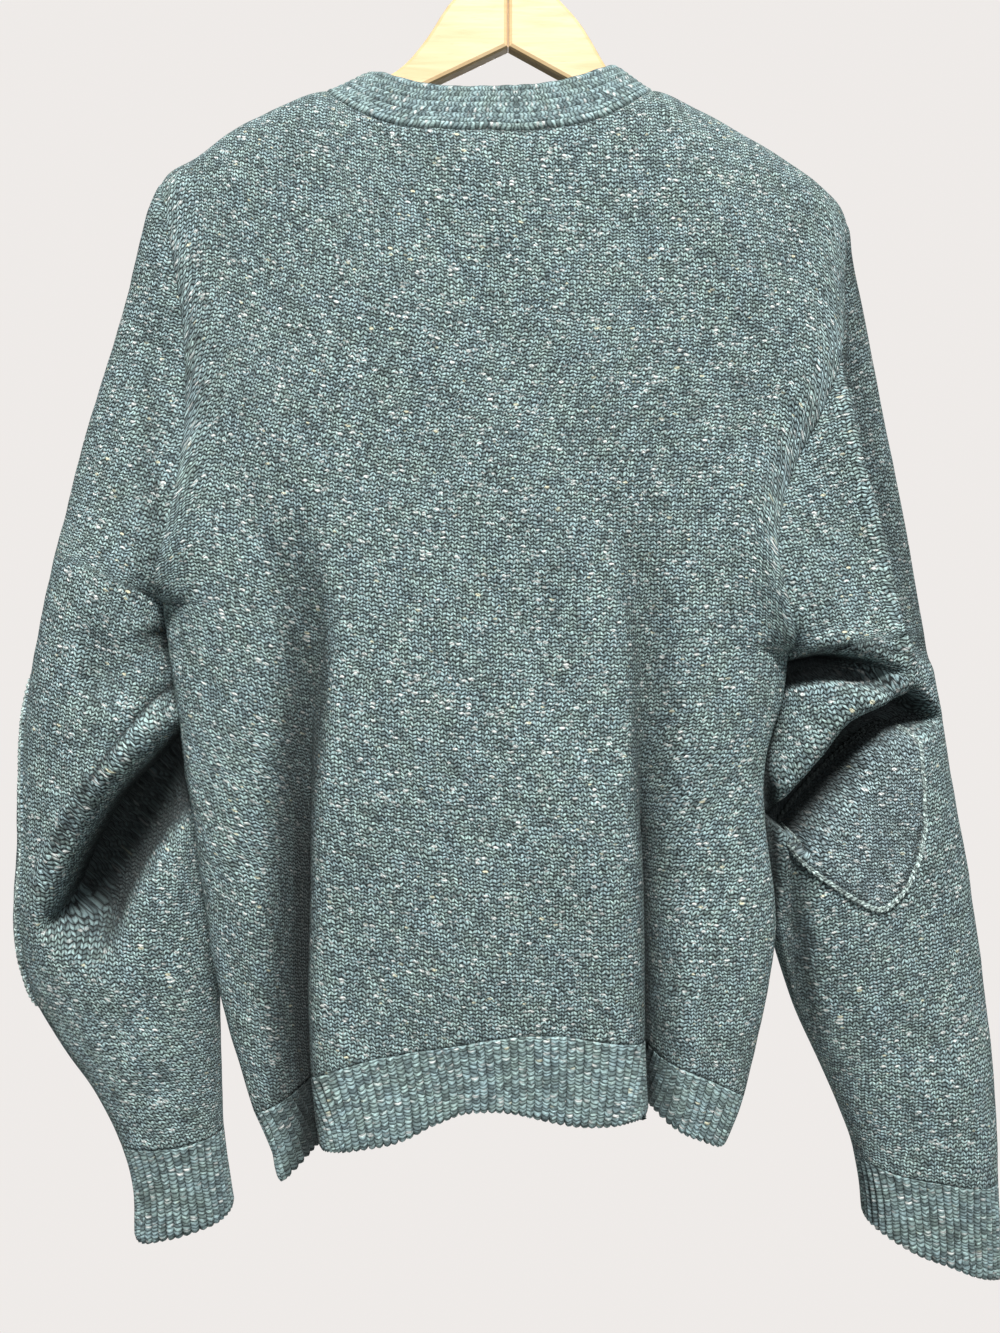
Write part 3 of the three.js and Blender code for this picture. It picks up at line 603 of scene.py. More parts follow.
def fabric_map(across, down, middle):
    """Distances in mm of cloth: sideways from a middle column of the points, and down."""
    sideways = steps_along(across, 1)
    sideways = sideways - sideways[:, middle : middle + 1]
    return np.stack(np.broadcast_arrays(sideways, down), -1)


def ribs_across(distance, depth):
    """The height of rounded ribs with narrow grooves, every second one shallower, and the shade painted in
    the grooves.
    """
    phase = distance / RIB_PITCH
    groove = np.abs(np.cos(math.pi * phase)) ** 1.5
    uneven = 0.82 + 0.18 * np.cos(math.pi * np.floor(phase + 0.5))
    return -depth * groove * uneven, 0.95 * groove**1.3 * uneven


def rib_columns(row, step=1):
    """Shares that give every rib of a row the same columns, and each column's distance along it.

    The number of ribs is a multiple of a step, which is 2 where the last rib meets the first."""
    length = steps_along(row(np.linspace(0, 1, ROW_SAMPLES)), 0)[-1]
    ribs = step * round(length / RIB_PITCH / step)
    columns = ribs * COLUMNS_A_RIB + 1
    return even_shares(row, columns), np.linspace(0, ribs, columns)[None, :] * RIB_PITCH


# ---------------------------------------------------------------- shader node groups


class Nodes:
    """Adds nodes to a tree. A value may be a number, a colour or another node's socket."""

    def __init__(self, tree):
        self.tree = tree

    def put(self, kind, values=None, **settings):
        node = self.tree.nodes.new("ShaderNode" + kind)
        for key, value in settings.items():
            setattr(node, key, value)
        for key, value in (values or {}).items():
            self.set(node.inputs[key], value)
        return node

    def set(self, socket, value):
        if isinstance(value, bpy.types.NodeSocket):
            self.tree.links.new(value, socket)
        elif isinstance(value, tuple) and len(value) == 3 and socket.type == "RGBA":
            socket.default_value = (*value, 1)
        else:
            socket.default_value = value

    def math(self, operation, a, b=0.5, c=0.5, clamp=False):
        return self.put("Math", {0: a, 1: b, 2: c}, operation=operation, use_clamp=clamp).outputs[0]

    def blend(self, factor, a, b, blend_type="MIX"):
        node = self.put("Mix", {0: factor, 6: a, 7: b}, data_type="RGBA", blend_type=blend_type)
        return node.outputs[2]

    def ramp(self, value, low, high, to_low=0.0, to_high=1.0):
        values = {"Value": value, "From Min": low, "From Max": high, "To Min": to_low, "To Max": to_high}
        return self.put("MapRange", values).outputs[0]

    def scaled(self, vector, x, y, z=1.0):
        return self.put("VectorMath", {0: vector, 1: (x, y, z)}, operation="MULTIPLY").outputs[0]

    def fabric(self):
        """The place on the cloth, in mm of cloth."""
        return self.put("UVMap", uv_map="fabric").outputs[0]

    def noise(self, place, scale, detail, output=0, dimensions="2D", distortion=0.0):
        values = {"Vector": place, "Scale": scale, "Detail": detail, "Distortion": distortion}
        return self.put("TexNoise", values, noise_dimensions=dimensions).outputs[output]

    def drifted(self, place, cloth, scale, reach):
        """A place moved by a noise at its place on the cloth, by up to half the reach each way."""
        drift = self.noise(cloth, scale, 1.0, output=1)
        drift = self.put("VectorMath", {0: drift, 1: (0.5, 0.5, 0.5)}, operation="SUBTRACT").outputs[0]
        drift = self.put("VectorMath", {0: drift, "Scale": reach}, operation="SCALE").outputs[0]
        return self.put("VectorMath", {0: place, 1: drift}, operation="ADD").outputs[0]


def darkened(nodes, color, share):
    grey = nodes.put("CombineColor", {0: share, 1: share, 2: share}).outputs[0]
    return nodes.blend(1.0, color, grey, "MULTIPLY")


def start_group(name, inputs, outputs):
    tree = bpy.data.node_groups.new(name, "ShaderNodeTree")
    for label, (kind, value) in inputs.items():
        socket = tree.interface.new_socket(label, in_out="INPUT", socket_type="NodeSocket" + kind)
        socket.default_value = value
    for label, kind in outputs.items():
        tree.interface.new_socket(label, in_out="OUTPUT", socket_type="NodeSocket" + kind)
    return Nodes(tree), tree.nodes.new("NodeGroupInput").outputs, tree.nodes.new("NodeGroupOutput").inputs


UNSET_COLOR = (0.2, 0.3, 0.3, 1)  # of a group's inputs, which each material sets
SLOW_DRIFT, QUICK_DRIFT = 0.09, 0.5  # scales of the noises that keep the stitches from lying straight
SLOW_DRIFT_REACH = 3.4
LEG_SLOPE = 0.55  # how far a stitch's leg rises on its way out, in rows of stitches


def knit_group():
    """Columns of V-shaped stitches: their height, and how deep in a gap a place is."""
    n, given, out = start_group(
        "stitches",
        {
            "Wale": ("Float", WALE), "Course": ("Float", COURSE), "Wobble": ("Float", 1.0),
            "Parting": ("Float", 0.55),
        },
        {"Height": "Float", "Gap": "Float", "Yarn": "Float"},
    )
    cloth = n.fabric()
    place = n.drifted(cloth, cloth, SLOW_DRIFT, SLOW_DRIFT_REACH)
    place = n.drifted(place, cloth, QUICK_DRIFT, given["Wobble"])
    parts = n.put("SeparateXYZ", {0: place}).outputs
    wale = n.math("DIVIDE", parts[0], given["Wale"])
    course = n.math("DIVIDE", parts[1], given["Course"])
    leg = n.math("ABSOLUTE", n.math("MULTIPLY_ADD", n.math("FRACT", wale), 2.0, -1.0))
    phase = n.math("MULTIPLY_ADD", leg, LEG_SLOPE, course)
    across = n.math("SQRT", n.math("SINE", n.math("MULTIPLY", n.math("FRACT", phase), math.pi)))
    legs = n.math("SINE", n.math("MULTIPLY", leg, math.pi), clamp=True)
    narrowing = n.math("SUBTRACT", n.math("POWER", legs, 0.5), 1.0)
    width = n.math("MULTIPLY_ADD", narrowing, given["Parting"], 1.0)
    height = n.math("MULTIPLY", across, width)
    cell = n.put("CombineXYZ", {
        0: n.math("FLOOR", n.math("MULTIPLY", wale, 2.0)),
        1: n.math("FLOOR", phase),
    }).outputs[0]
    yarn = n.put("TexWhiteNoise", {"Vector": cell}, noise_dimensions="2D").outputs[0]
    n.set(out["Height"], n.math("MULTIPLY", height, n.ramp(yarn, 0.0, 1.0, 0.75, 1.0)))
    n.set(out["Gap"], n.ramp(height, 0.45, 0.95, 1.0, 0.0))
    n.set(out["Yarn"], yarn)
    return n.tree


def heather_group():
    """The wool's own colour: two greys that drift into each other, and lighter and darker stitches."""
    n, given, out = start_group(
        "heather",
        {
            "Blue": ("Color", UNSET_COLOR),
            "Green": ("Color", UNSET_COLOR),
            "Yarn": ("Float", 0.5),
            "Contrast": ("Float", 0.5),
        },
        {"Color": "Color"},
    )
    place = n.fabric()
    clouds = n.noise(place, 0.045, 2.0)
    patches = n.noise(n.scaled(place, 0.5, 1.0), 0.22, 3.0)
    hairs = n.noise(n.scaled(place, 0.7, 1.6), 1.4, 2.0)
    drift = n.ramp(n.math("MULTIPLY_ADD", patches, 0.5, n.math("MULTIPLY", clouds, 0.5)), 0.36, 0.64)
    tone = n.blend(drift, given["Blue"], given["Green"])
    light = n.math("MULTIPLY_ADD", n.math("SUBTRACT", given["Yarn"], 0.5), given["Contrast"], 1.0)
    light = n.math("MULTIPLY", light, n.ramp(hairs, 0.3, 0.7, 0.78, 1.22))
    light = n.math("MULTIPLY", light, n.ramp(patches, 0.3, 0.7, 0.86, 1.14))
    n.set(out["Color"], darkened(n, tone, light))
    return n.tree


WHITE_TUFT, YELLOW_TUFT = (0.95, 0.98, 0.95), (0.90, 0.88, 0.64)
WHITE_SHARE = 0.93  # of the tufts, the rest are yellow


def fleck_group():
    """Small tufts of undyed wool caught in the yarn."""
    n, given, out = start_group(
        "flecks",
        {
            "Base": ("Color", UNSET_COLOR),
            "Length": ("Float", 4.0),
            "Height": ("Float", 2.0),
            "Share": ("Float", 0.1),
            "Strength": ("Float", 1.0),
            "Seed": ("Float", 0.0),
        },
        {"Color": "Color", "Mask": "Float"},
    )
    parts = n.put("SeparateXYZ", {0: n.fabric()}).outputs
    place = n.put("CombineXYZ", {
        0: n.math("ADD", n.math("DIVIDE", parts[0], given["Length"]), given["Seed"]),
        1: n.math("DIVIDE", parts[1], given["Height"]),
    }).outputs[0]
    cells = n.put("TexVoronoi", {"Vector": place, "Scale": 1.0, "Randomness": 1.0}, voronoi_dimensions="2D")
    chance = n.put("SeparateColor", {0: cells.outputs["Color"]}).outputs
    chosen = n.math("LESS_THAN", chance[0], given["Share"])
    spot = n.ramp(cells.outputs["Distance"], 0.22, 0.5, 1.0, 0.0)
    mask = n.math("MULTIPLY", n.math("MULTIPLY", spot, chosen), given["Strength"], clamp=True)
    mask = n.math("MULTIPLY", mask, n.ramp(chance[1], 0.0, 1.0, 0.3, 1.0))
    tuft = n.blend(n.math("GREATER_THAN", chance[2], WHITE_SHARE), WHITE_TUFT, YELLOW_TUFT)
    n.set(out["Color"], n.blend(mask, given["Base"], tuft))
    n.set(out["Mask"], mask)
    return n.tree


STITCHES = knit_group()
HEATHER = heather_group()
FLECKS = fleck_group()

# Large, middling and small tufts: length, height, share of the places, strength and seed.
FLECK_LAYERS = [(4.2, 2.2, 0.06, 1.3, 0.0), (3.1, 1.8, 0.05, 0.85, 37.3), (2.2, 1.5, 0.06, 0.45, 91.7)]


def new_material(name):
    material = bpy.data.materials.new(name)
    material.use_nodes = True
    nodes = Nodes(material.node_tree)
    return material, nodes, material.node_tree.nodes["Principled BSDF"].inputs


def group(nodes, tree, values):
    node = nodes.tree.nodes.new("ShaderNodeGroup")
    node.node_tree = tree
    for key, value in values.items():
        nodes.set(node.inputs[key], value)
    return node.outputs


STITCH_WOBBLE = 1.1
YARN_CONTRAST = 1.1
SHADE_STRENGTH = 0.93  # how much of the colour the painted "shade" of a mesh takes away


def wool(name, blue, green, wale=WALE, course=COURSE, gap=0.96, flecks=1.0, relief=1.5, parting=0.55):
    """Knitted wool: stitches in relief, with shade painted between them, in a heathered and flecked yarn.

    "gap" is how much shade is painted in the gaps, "relief" the stitches' height in mm, and "parting" how
    far a stitch's two legs stand apart."""
    material, n, shader = new_material(name)
    stitch = group(n, STITCHES, {
        "Wale": wale, "Course": course, "Wobble": STITCH_WOBBLE, "Parting": parting,
    })
    color = group(n, HEATHER, {
        "Blue": blue, "Green": green, "Yarn": stitch["Yarn"], "Contrast": YARN_CONTRAST,
    })[0]
    # Painted shade in the gaps between the stitches.
    color = darkened(n, color, n.math("MULTIPLY_ADD", stitch["Gap"], -gap, 1.0))
    height = stitch["Height"]
    for length, tall, share, strength, seed in FLECK_LAYERS:
        fleck = group(n, FLECKS, {
            "Base": color, "Length": length, "Height": tall, "Share": share,
            "Strength": strength * flecks, "Seed": seed,
        })
        color = fleck["Color"]
        height = n.math("MULTIPLY_ADD", fleck["Mask"], 0.3, height)
    # The shade painted on the mesh: in its folds, furrows, seams and rib grooves.
    shade = n.put("Attribute", attribute_name="shade").outputs["Fac"]
    n.set(shader["Base Color"], darkened(n, color, n.math("MULTIPLY_ADD", shade, -SHADE_STRENGTH, 1.0)))
    height = n.math("MULTIPLY_ADD", n.noise(n.fabric(), 1.9, 2.0), 0.5, height)
    bump = n.put("Bump", {"Height": height, "Strength": 1.0, "Distance": relief * MM})
    n.set(shader["Normal"], bump.outputs[0])
    shader["Roughness"].default_value = 0.95
    shader["Specular IOR Level"].default_value = 0.2
    shader["Sheen Weight"].default_value = 0.12
    shader["Sheen Roughness"].default_value = 0.6
    shader["Sheen Tint"].default_value = (0.75, 0.88, 0.9, 1)
    return material


# Each wool's bluer and greener grey come first.
KNIT = wool("knit wool", (0.335, 0.47, 0.50), (0.35, 0.48, 0.455))
RIB_KNIT = wool(
    "ribbed wool", (0.28, 0.395, 0.42), (0.295, 0.405, 0.385),
    wale=RIB_PITCH, gap=0.62, flecks=0.7, relief=0.9, parting=0.12,
)
PATCH_KNIT = wool("patch wool", (0.34, 0.46, 0.50), (0.35, 0.47, 0.47), wale=3.2, course=2.2)
LINKING = wool(
    "linking yarn", (0.50, 0.63, 0.62), (0.52, 0.65, 0.61), wale=3.0, course=3.0, gap=0.6, flecks=0.4,
)


# ---------------------------------------------------------------- panels and hems

MIDDLE_X = -10.0  # where the panels' fabric map starts
SKEW_START = 80.0  # left of it the courses turn up towards the right, more and more
SKEW_RATE = 0.0012


def panel_rows(top_rows, low_rows):
    """Rows from the shoulder to the ribbing, closer together just under the shoulder ridge."""
    top = np.linspace(0, 1, top_rows) ** 1.15
    return np.concatenate([top, np.linspace(1, 2, low_rows)[1:]])


def edge_distance(points, *edges):
    """Each point's distance from the nearest of the named edges, along its row or column."""
    sideways, down = steps_along(points, 1), steps_along(points, 0)
    distances = {
        "left": sideways, "right": sideways[:, -1:] - sideways, "top": down, "bottom": down[-1:] - down,
    }
    return np.minimum.reduce([distances[edge] for edge in edges])


def skewed(fabric):
    """Turns the courses up towards the right, more and more to the left of a start."""
    left = np.minimum(fabric[..., 0] - SKEW_START, 0)
    fabric[..., 1] += SKEW_RATE * left * left / 2
    return fabric


TOOTH_HEIGHT = 1.4  # how far a groove's end is drawn up at the free edge
END_ROUNDING = 1.2  # how far that edge is drawn in


def welt_ribs(points, distance):
    """A welt's ribs and fabric map. The ribs start softly and their ends make a toothed edge."""
    down = steps_along(points, 0)
    to_end = down[-1:] - down
    rise, dark = ribs_across(distance, RIB_DEPTH)
    starts = smooth_step(-1, 5, down)
    points[..., 2] += TOOTH_HEIGHT * hump(to_end, 3) * dark
    rise = rise * starts - END_ROUNDING * hump(to_end, 1.6)
    return (rise, dark * starts), np.stack(np.broadcast_arrays(distance, down), -1)


def panel_row(panel, w):
    """A row of the folded panel, as a function of its shares."""
    return lambda u: folded(panel.point(w, u), BODY_FOLDS)


def make_panel(panel, name, rows, columns, stands_for):
    w = panel_rows(*rows)[:, None]
    u = even_shares(panel_row(panel, CHEST_ROW), columns)
    plain = panel.point(w, u[None, :])
    points = folded(plain, BODY_FOLDS)
    middle = int(np.argmin(np.abs(points[len(points) // 2, :, 0] - MIDDLE_X)))
    underarm = rows[0] - 1
    from_top = steps_along(plain, 0)
    drops = from_top - from_top[underarm] - plain[underarm, :, 2]
    fabric = skewed(fabric_map(points, drops, middle))
    top_x = mix(LEFT_SLEEVE.top[0], RIGHT_SLEEVE.top[0], u)[None, :]
    on_neck = smooth_step(0, 6, np.minimum(top_x - NECK_LEFT[0], NECK_RIGHT[0] - top_x))
    down = steps_along(points, 0)
    seams = [
        (edge_distance(points, "left", "right"), *ARMHOLE_SEAM),
        (down, NECK_SEAM[0] * on_neck, NECK_SEAM[1] * on_neck),
        (edge_distance(points, "bottom"), *RIB_START),
    ]
    obj = cloth(name, points, panel.side, fabric, seams, painted_hollow_shade(plain, BODY_FOLDS))
    return finish_cloth(obj, KNIT, stands_for)


def make_hem(panel, name, rows, stands_for):
    u, distance = rib_columns(panel_row(panel, MID_RIB_ROW))
    w = np.linspace(2, RIB_END, rows)[:, None]
    plain = panel.point(w, u[None, :])
    points = folded(plain, BODY_FOLDS)
    down = steps_along(points, 0)
    relief, fabric = welt_ribs(points, distance)
    seams = [(edge_distance(points, "left", "right"), *ARMHOLE_SEAM), (down, *RIB_START)]
    obj = cloth(name, points, panel.side, fabric, seams, painted_hollow_shade(plain, BODY_FOLDS), relief)
    return finish_cloth(obj, RIB_KNIT, stands_for)


back_knit = make_panel(BACK, "back_knit", (110, 120), 158, "back_panel")
front_knit = make_panel(FRONT, "front_knit", (80, 80), 110, "front_panel")
back_welt = make_hem(BACK, "back_welt", 16, "back_hem_rib")
front_welt = make_hem(FRONT, "front_welt", 12, "front_hem_rib")


# ---------------------------------------------------------------- sleeves and cuffs


def sleeve_grid(sleeve, folds, w, s):
    """A sleeve's points. Its own folds begin a little way from the armhole."""
    points = sleeve_point(sleeve, w, s)
    clear = np.where(w < 1, smooth_step(0, 0.12, np.minimum(s, 1 - s)), 1.0)
    shoulder = folded(points, BODY_FOLDS) - points
    near_seam = np.where(w < 1, 1 - smooth_step(0, 0.2, np.minimum(s, 1 - s)), 0.0)
    return folded(points, folds, clear) + shoulder * near_seam[..., None]


def sleeve_row(sleeve, w):
    """A row of the unfolded sleeve, as a function of its shares."""
    return lambda s: sleeve_point(sleeve, w, s)


def make_sleeve(sleeve, folds, name, stands_for, lines):
    """A sleeve. Its rows are closest together at the elbow, between the underarm and row 1.5."""
    w = np.concatenate([np.linspace(0, 1, 108), np.linspace(1, 1.5, 120)[1:], np.linspace(1.5, 2, 66)[1:]])
    s = even_shares(sleeve_row(sleeve, UPPER_ARM_ROW), 140)
    points = sleeve_grid(sleeve, folds, w[:, None], s[None, :])
    points[w >= 1, -1] = points[w >= 1, 0]
    plain = sleeve_point(sleeve, w[:, None], s[None, :])
    outer = int(np.argmin(np.abs(s - 0.5)))
    courses = steps_along(plain, 0).mean(axis=1, keepdims=True)
    fabric = banked(fabric_map(plain, courses, outer), plain, folds, sleeve.side)
    at_armhole = np.where(w[:, None] <= 1, edge_distance(points, "left", "right"), 1e3)
    seams = [(at_armhole, *ARMHOLE_SEAM), (edge_distance(points, "bottom"), *RIB_START)]
    obj = cloth(name, points, -sleeve.side, fabric, seams, painted_hollow_shade(plain, folds), lines=lines)
    return finish_cloth(obj, KNIT, stands_for)


def make_cuff(sleeve, folds, name, stands_for):
    """A cuff. Shade is painted on it all over, and more deeply in its grooves than on a hem."""
    s, distance = rib_columns(sleeve_row(sleeve, MID_RIB_ROW), step=2)
    w = np.linspace(2, RIB_END, 16)
    points = sleeve_grid(sleeve, folds, w[:, None], s[None, :])
    points[:, -1] = points[:, 0]
    down = steps_along(points, 0)
    (rise, dark), fabric = welt_ribs(points, distance)
    # Painted shade all over the cuff, strongest in its grooves.
    relief = (rise, np.minimum(1, 0.16 + 1.1 * dark))
    hollows = painted_hollow_shade(sleeve_point(sleeve, w[:, None], s[None, :]), folds)
    obj = cloth(name, points, -sleeve.side, fabric, [(down, *RIB_START)], hollows, relief, closed=True)
    return finish_cloth(obj, RIB_KNIT, stands_for)


# The sharp furrows along which a line of shade is painted: the fold, its side and how dark the line is.
LEFT_LINES = [(LEFT_SLEEVE_FOLDS[-1][1], -1, 0.95)]
RIGHT_LINES = [(RIGHT_SLEEVE_FOLDS[-1][3], -1, 0.8)]
left_sleeve = make_sleeve(LEFT_SLEEVE, LEFT_SLEEVE_FOLDS, "left_sleeve", "sleeve_left", LEFT_LINES)
right_sleeve = make_sleeve(RIGHT_SLEEVE, RIGHT_SLEEVE_FOLDS, "right_sleeve", "sleeve_right", RIGHT_LINES)
left_cuff = make_cuff(LEFT_SLEEVE, LEFT_SLEEVE_FOLDS, "left_cuff", "cuff_left")
right_cuff = make_cuff(RIGHT_SLEEVE, RIGHT_SLEEVE_FOLDS, "right_cuff", "cuff_right")


# ---------------------------------------------------------------- neckband

BAND_RIBS = 7
BAND_RIB_DEPTH = 0.8
BAND_STRIP = 4.0  # the plain strip between the seam and the first rib


def make_band(neck, inner, name, stands_for):
    """One length of the band, from the join at the back over the shoulder and down to the V."""
    join = (NECK_JOIN_X - NECK_LEFT[0]) / (NECK_RIGHT[0] - NECK_LEFT[0])
    end = 0.0 if neck == NECK_LEFT else 1.0
    behind = mix(join, end, 1 - (1 - np.linspace(0, 1, 66)) ** 1.6)
    before = np.linspace(0, 1, 110)[1:] ** 1.25
    seam_back, free_back = band_back(behind)
    seam_front, free_front = band_front(neck, inner, before)
    seam = np.concatenate([seam_back, seam_front])
    free = np.concatenate([free_back, free_front])
    f = np.linspace(0, 1, 36)[None, :, None]
    points = mix(seam[:, None], free[:, None], f)
    across = steps_along(points, 1)
    width = across[:, -1:]
    along = steps_along(points[:, 18:19], 0)
    past_strip = (across - BAND_STRIP) / (width - BAND_STRIP)
    rise, dark = ribs_across(past_strip * BAND_RIBS * RIB_PITCH, BAND_RIB_DEPTH)
    on_strip = across < BAND_STRIP
    rise = np.where(on_strip, np.sin(math.pi * np.clip(across / BAND_STRIP, 0, 1)), rise)
    rise = rise + 0.35 * np.sin(along / 3.1) * smooth_step(0.5, 1, across / width)
    # Half the painted groove shade on the band, and none on its plain strip.
    relief = rise, np.where(on_strip, 0, 0.5 * dark)
    fabric = np.stack([across / width * (BAND_RIBS * RIB_PITCH + BAND_STRIP), along + 0 * across], -1)
    fabric[..., 0] -= BAND_STRIP
    seams = [
        (across, *BAND_SEAM),
        (edge_distance(points, "top"), *BAND_JOIN),
        (edge_distance(points, "right"), *BAND_EDGE),
    ]
    outwards = 1 if neck == NECK_LEFT else -1
    obj = cloth(name, points, outwards, fabric, seams, np.zeros(points.shape[:2]), relief)
    return finish_cloth(obj, RIB_KNIT, stands_for)


left_band = make_band(NECK_LEFT, BAND_INNER_LEFT, "left_band", "neckband_left")
right_band = make_band(NECK_RIGHT, BAND_INNER_RIGHT, "right_band", "neckband_right")


# ---------------------------------------------------------------- elbow patches


OUTLINE_POINTS = 220
CHAIN_INSETS = (0.985, 0.945)  # where the chain stitch's two rows lie, in shares of the way out
CHAIN_LIFT = 0.7  # of their middle above the patch
CHAIN_LOOP = 4.4  # length of a loop of yarn
YARN_STEP = 0.9
YARN_RADIUS = 1.0
YARN_SWELL = 0.3  # how much thicker it is in the middle of a loop
YARN_SIDES = 6


def locate(sleeve, x, drop, w, s):
    """The row and share of the unfolded sleeve's place at x and drop, from a guess."""
    w, s = w + 0 * x, s + 0 * x
    for _ in range(12):
        here = sleeve_point(sleeve, w, s)
        by_w = (sleeve_point(sleeve, w + 1e-3, s) - here) / 1e-3
        by_s = (sleeve_point(sleeve, w, s + 1e-3) - here) / 1e-3
        miss_x, miss_z = x - here[..., 0], -drop - here[..., 2]
        det = by_w[..., 0] * by_s[..., 2] - by_s[..., 0] * by_w[..., 2]
        w = np.clip(w + 0.7 * (miss_x * by_s[..., 2] - by_s[..., 0] * miss_z) / det, 1.02, 1.98)
        s = np.clip(s + 0.7 * (by_w[..., 0] * miss_z - miss_x * by_w[..., 2]) / det, 0.02, 0.48)
    return w, s


def lifted(sleeve, folds, w, s, height):
    """Points above the sleeve's surface, and the normals there."""
    step = 2e-3
    here = sleeve_grid(sleeve, folds, w, s)
    by_w = sleeve_grid(sleeve, folds, w + step, s) - here
    by_s = sleeve_grid(sleeve, folds, w, s + step) - here
    normal = np.cross(by_s, by_w) * -sleeve.side
    normal /= np.maximum(np.linalg.norm(normal, axis=-1, keepdims=True), 1e-9)
    return here + normal * np.asarray(height)[..., None], normal


def make_patch(sleeve, folds, outline, name, stands_for):
    """A patch inside an outline of rows and shares, with its edge pressed down by its stitches."""
    w_edge, s_edge = outline
    w_mid, s_mid = w_edge[:-1].mean(), s_edge[:-1].mean()
    r = np.linspace(0, 1, 34)[:, None] ** 0.9
    w, s = mix(w_mid, w_edge[None, :], r), mix(s_mid, s_edge[None, :], r)
    base, _ = lifted(sleeve, folds, w, s, 0 * w)
    to_edge = steps_along(base, 0)[-1:] - steps_along(base, 0)
    height = PATCH_RISE - 0.9 * hump(to_edge, 3.0)
    points, _ = lifted(sleeve, folds, w, s, height)
    flat = sleeve_point(sleeve, w, s)
    shares = np.linspace(0, 1, 800)
    round_sleeve = steps_along(sleeve_point(sleeve, w_mid, shares), 0)
    fabric = np.stack([np.interp(s, shares, round_sleeve), -flat[..., 2]], -1)
    # Painted shade: a dark band just inside the chain stitch, and the shade painted in the sleeve's folds.
    shade = np.maximum(0.55 * hump(to_edge - 4.5, 1.6), painted_hollow_shade(flat, folds))
    if sleeve.side > 0:
        points, fabric, shade = (np.flip(a, axis=1) for a in (points, fabric, shade))
    return finish_cloth(mesh_of(name, points, fabric, shade), PATCH_KNIT, stands_for, PATCH_WALL)


def yarn_ring(name, path, normals, radii, shade):
    """A closed ring of yarn along a closed path."""
    ahead, behind = np.roll(path, -1, axis=0), np.roll(path, 1, axis=0)
    along = ahead - behind
    along /= np.linalg.norm(along, axis=1, keepdims=True)
    sideways = np.cross(along, normals)
    turn = np.linspace(0, 2 * math.pi, YARN_SIDES, endpoint=False)
    ring = (
        path[:, None]
        + sideways[:, None] * (radii[:, None] * np.cos(turn))[..., None]
        + normals[:, None] * (radii[:, None] * np.sin(turn) * 0.8)[..., None]
    )
    ring = np.concatenate([ring, ring[:1]])
    ring = np.concatenate([ring, ring[:, :1]], axis=1)
    length = steps_along(ring[:, :1], 0)
    round_yarn = np.linspace(0, 3, YARN_SIDES + 1)[None, :]
    fabric = np.stack([0 * length + round_yarn, length + 0 * round_yarn], -1)
    shade = np.append(shade, shade[:1])[:, None] + 0 * round_yarn
    obj = mesh_of(name, ring, fabric, shade)
    obj.data.materials.append(LINKING)
    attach(obj, "root")


def chain_stitch(sleeve, folds, outline, name):
    """Two rows of light yarn side by side along a patch's edge, thick and thin by turns."""
    w_edge, s_edge = outline
    w_mid, s_mid = w_edge[:-1].mean(), s_edge[:-1].mean()
    for number, inset in enumerate(CHAIN_INSETS):
        w, s = mix(w_mid, w_edge, inset), mix(s_mid, s_edge, inset)
        base, _ = lifted(sleeve, folds, w, s, 0 * w)
        length = steps_along(base, 0)
        count = int(length[-1] / YARN_STEP)
        even = np.interp(np.linspace(0, length[-1], count, endpoint=False), length, np.arange(len(w)))
        w, s = np.interp(even, np.arange(len(w)), w), np.interp(even, np.arange(len(s)), s)
        loops = round(length[-1] / CHAIN_LOOP)
        phase = np.arange(count) / count * loops * 2 * math.pi + number * math.pi
        height = PATCH_RISE + CHAIN_LIFT + 0.25 * np.cos(phase)
        points, normals = lifted(sleeve, folds, w, s, height)
        # The chain stitch gets the shade painted in the sleeve's folds.
        shade = painted_hollow_shade(sleeve_point(sleeve, w, s), folds)
        yarn_ring(f"{name}_{number + 1}", points, normals, YARN_RADIUS + YARN_SWELL * np.cos(phase), shade)


def smooth_ring(points, count):
    """A closed smooth curve through points, in equal steps of their order."""
    points = np.array(points, float)
    wrapped = np.concatenate([points[-2:], points, points[:3]])
    t = np.arange(-2, len(points) + 3)
    at = line(*[(k, *p) for k, p in zip(t, wrapped)])
    return at(np.linspace(0, len(points), count))


RIGHT_PATCH = smooth_ring(
    [
        (253, 566), (257, 592), (258.5, 620), (256.5, 642), (250, 660), (240.5, 673), (231, 678),
        (220, 674), (206, 665), (193, 655), (183, 643), (180, 630), (190, 612), (212, 588), (236, 567),
    ],
    OUTLINE_POINTS,
)
right_outline = locate(RIGHT_SLEEVE, RIGHT_PATCH[0], RIGHT_PATCH[1], 1.3, 0.25)
right_patch = make_patch(RIGHT_SLEEVE, RIGHT_SLEEVE_FOLDS, right_outline, "right_patch", "elbow_patch_right")
chain_stitch(RIGHT_SLEEVE, RIGHT_SLEEVE_FOLDS, right_outline, "right_chain")

turns = np.linspace(0, 2 * math.pi, OUTLINE_POINTS)
left_outline = (1.46 + 0.285 * squared(np.cos(turns), 0.8), 0.54 + 0.13 * squared(np.sin(turns), 0.8))
left_patch = make_patch(LEFT_SLEEVE, LEFT_SLEEVE_FOLDS, left_outline, "left_patch", "elbow_patch_left")
chain_stitch(LEFT_SLEEVE, LEFT_SLEEVE_FOLDS, left_outline, "left_chain")


# ---------------------------------------------------------------- hanger


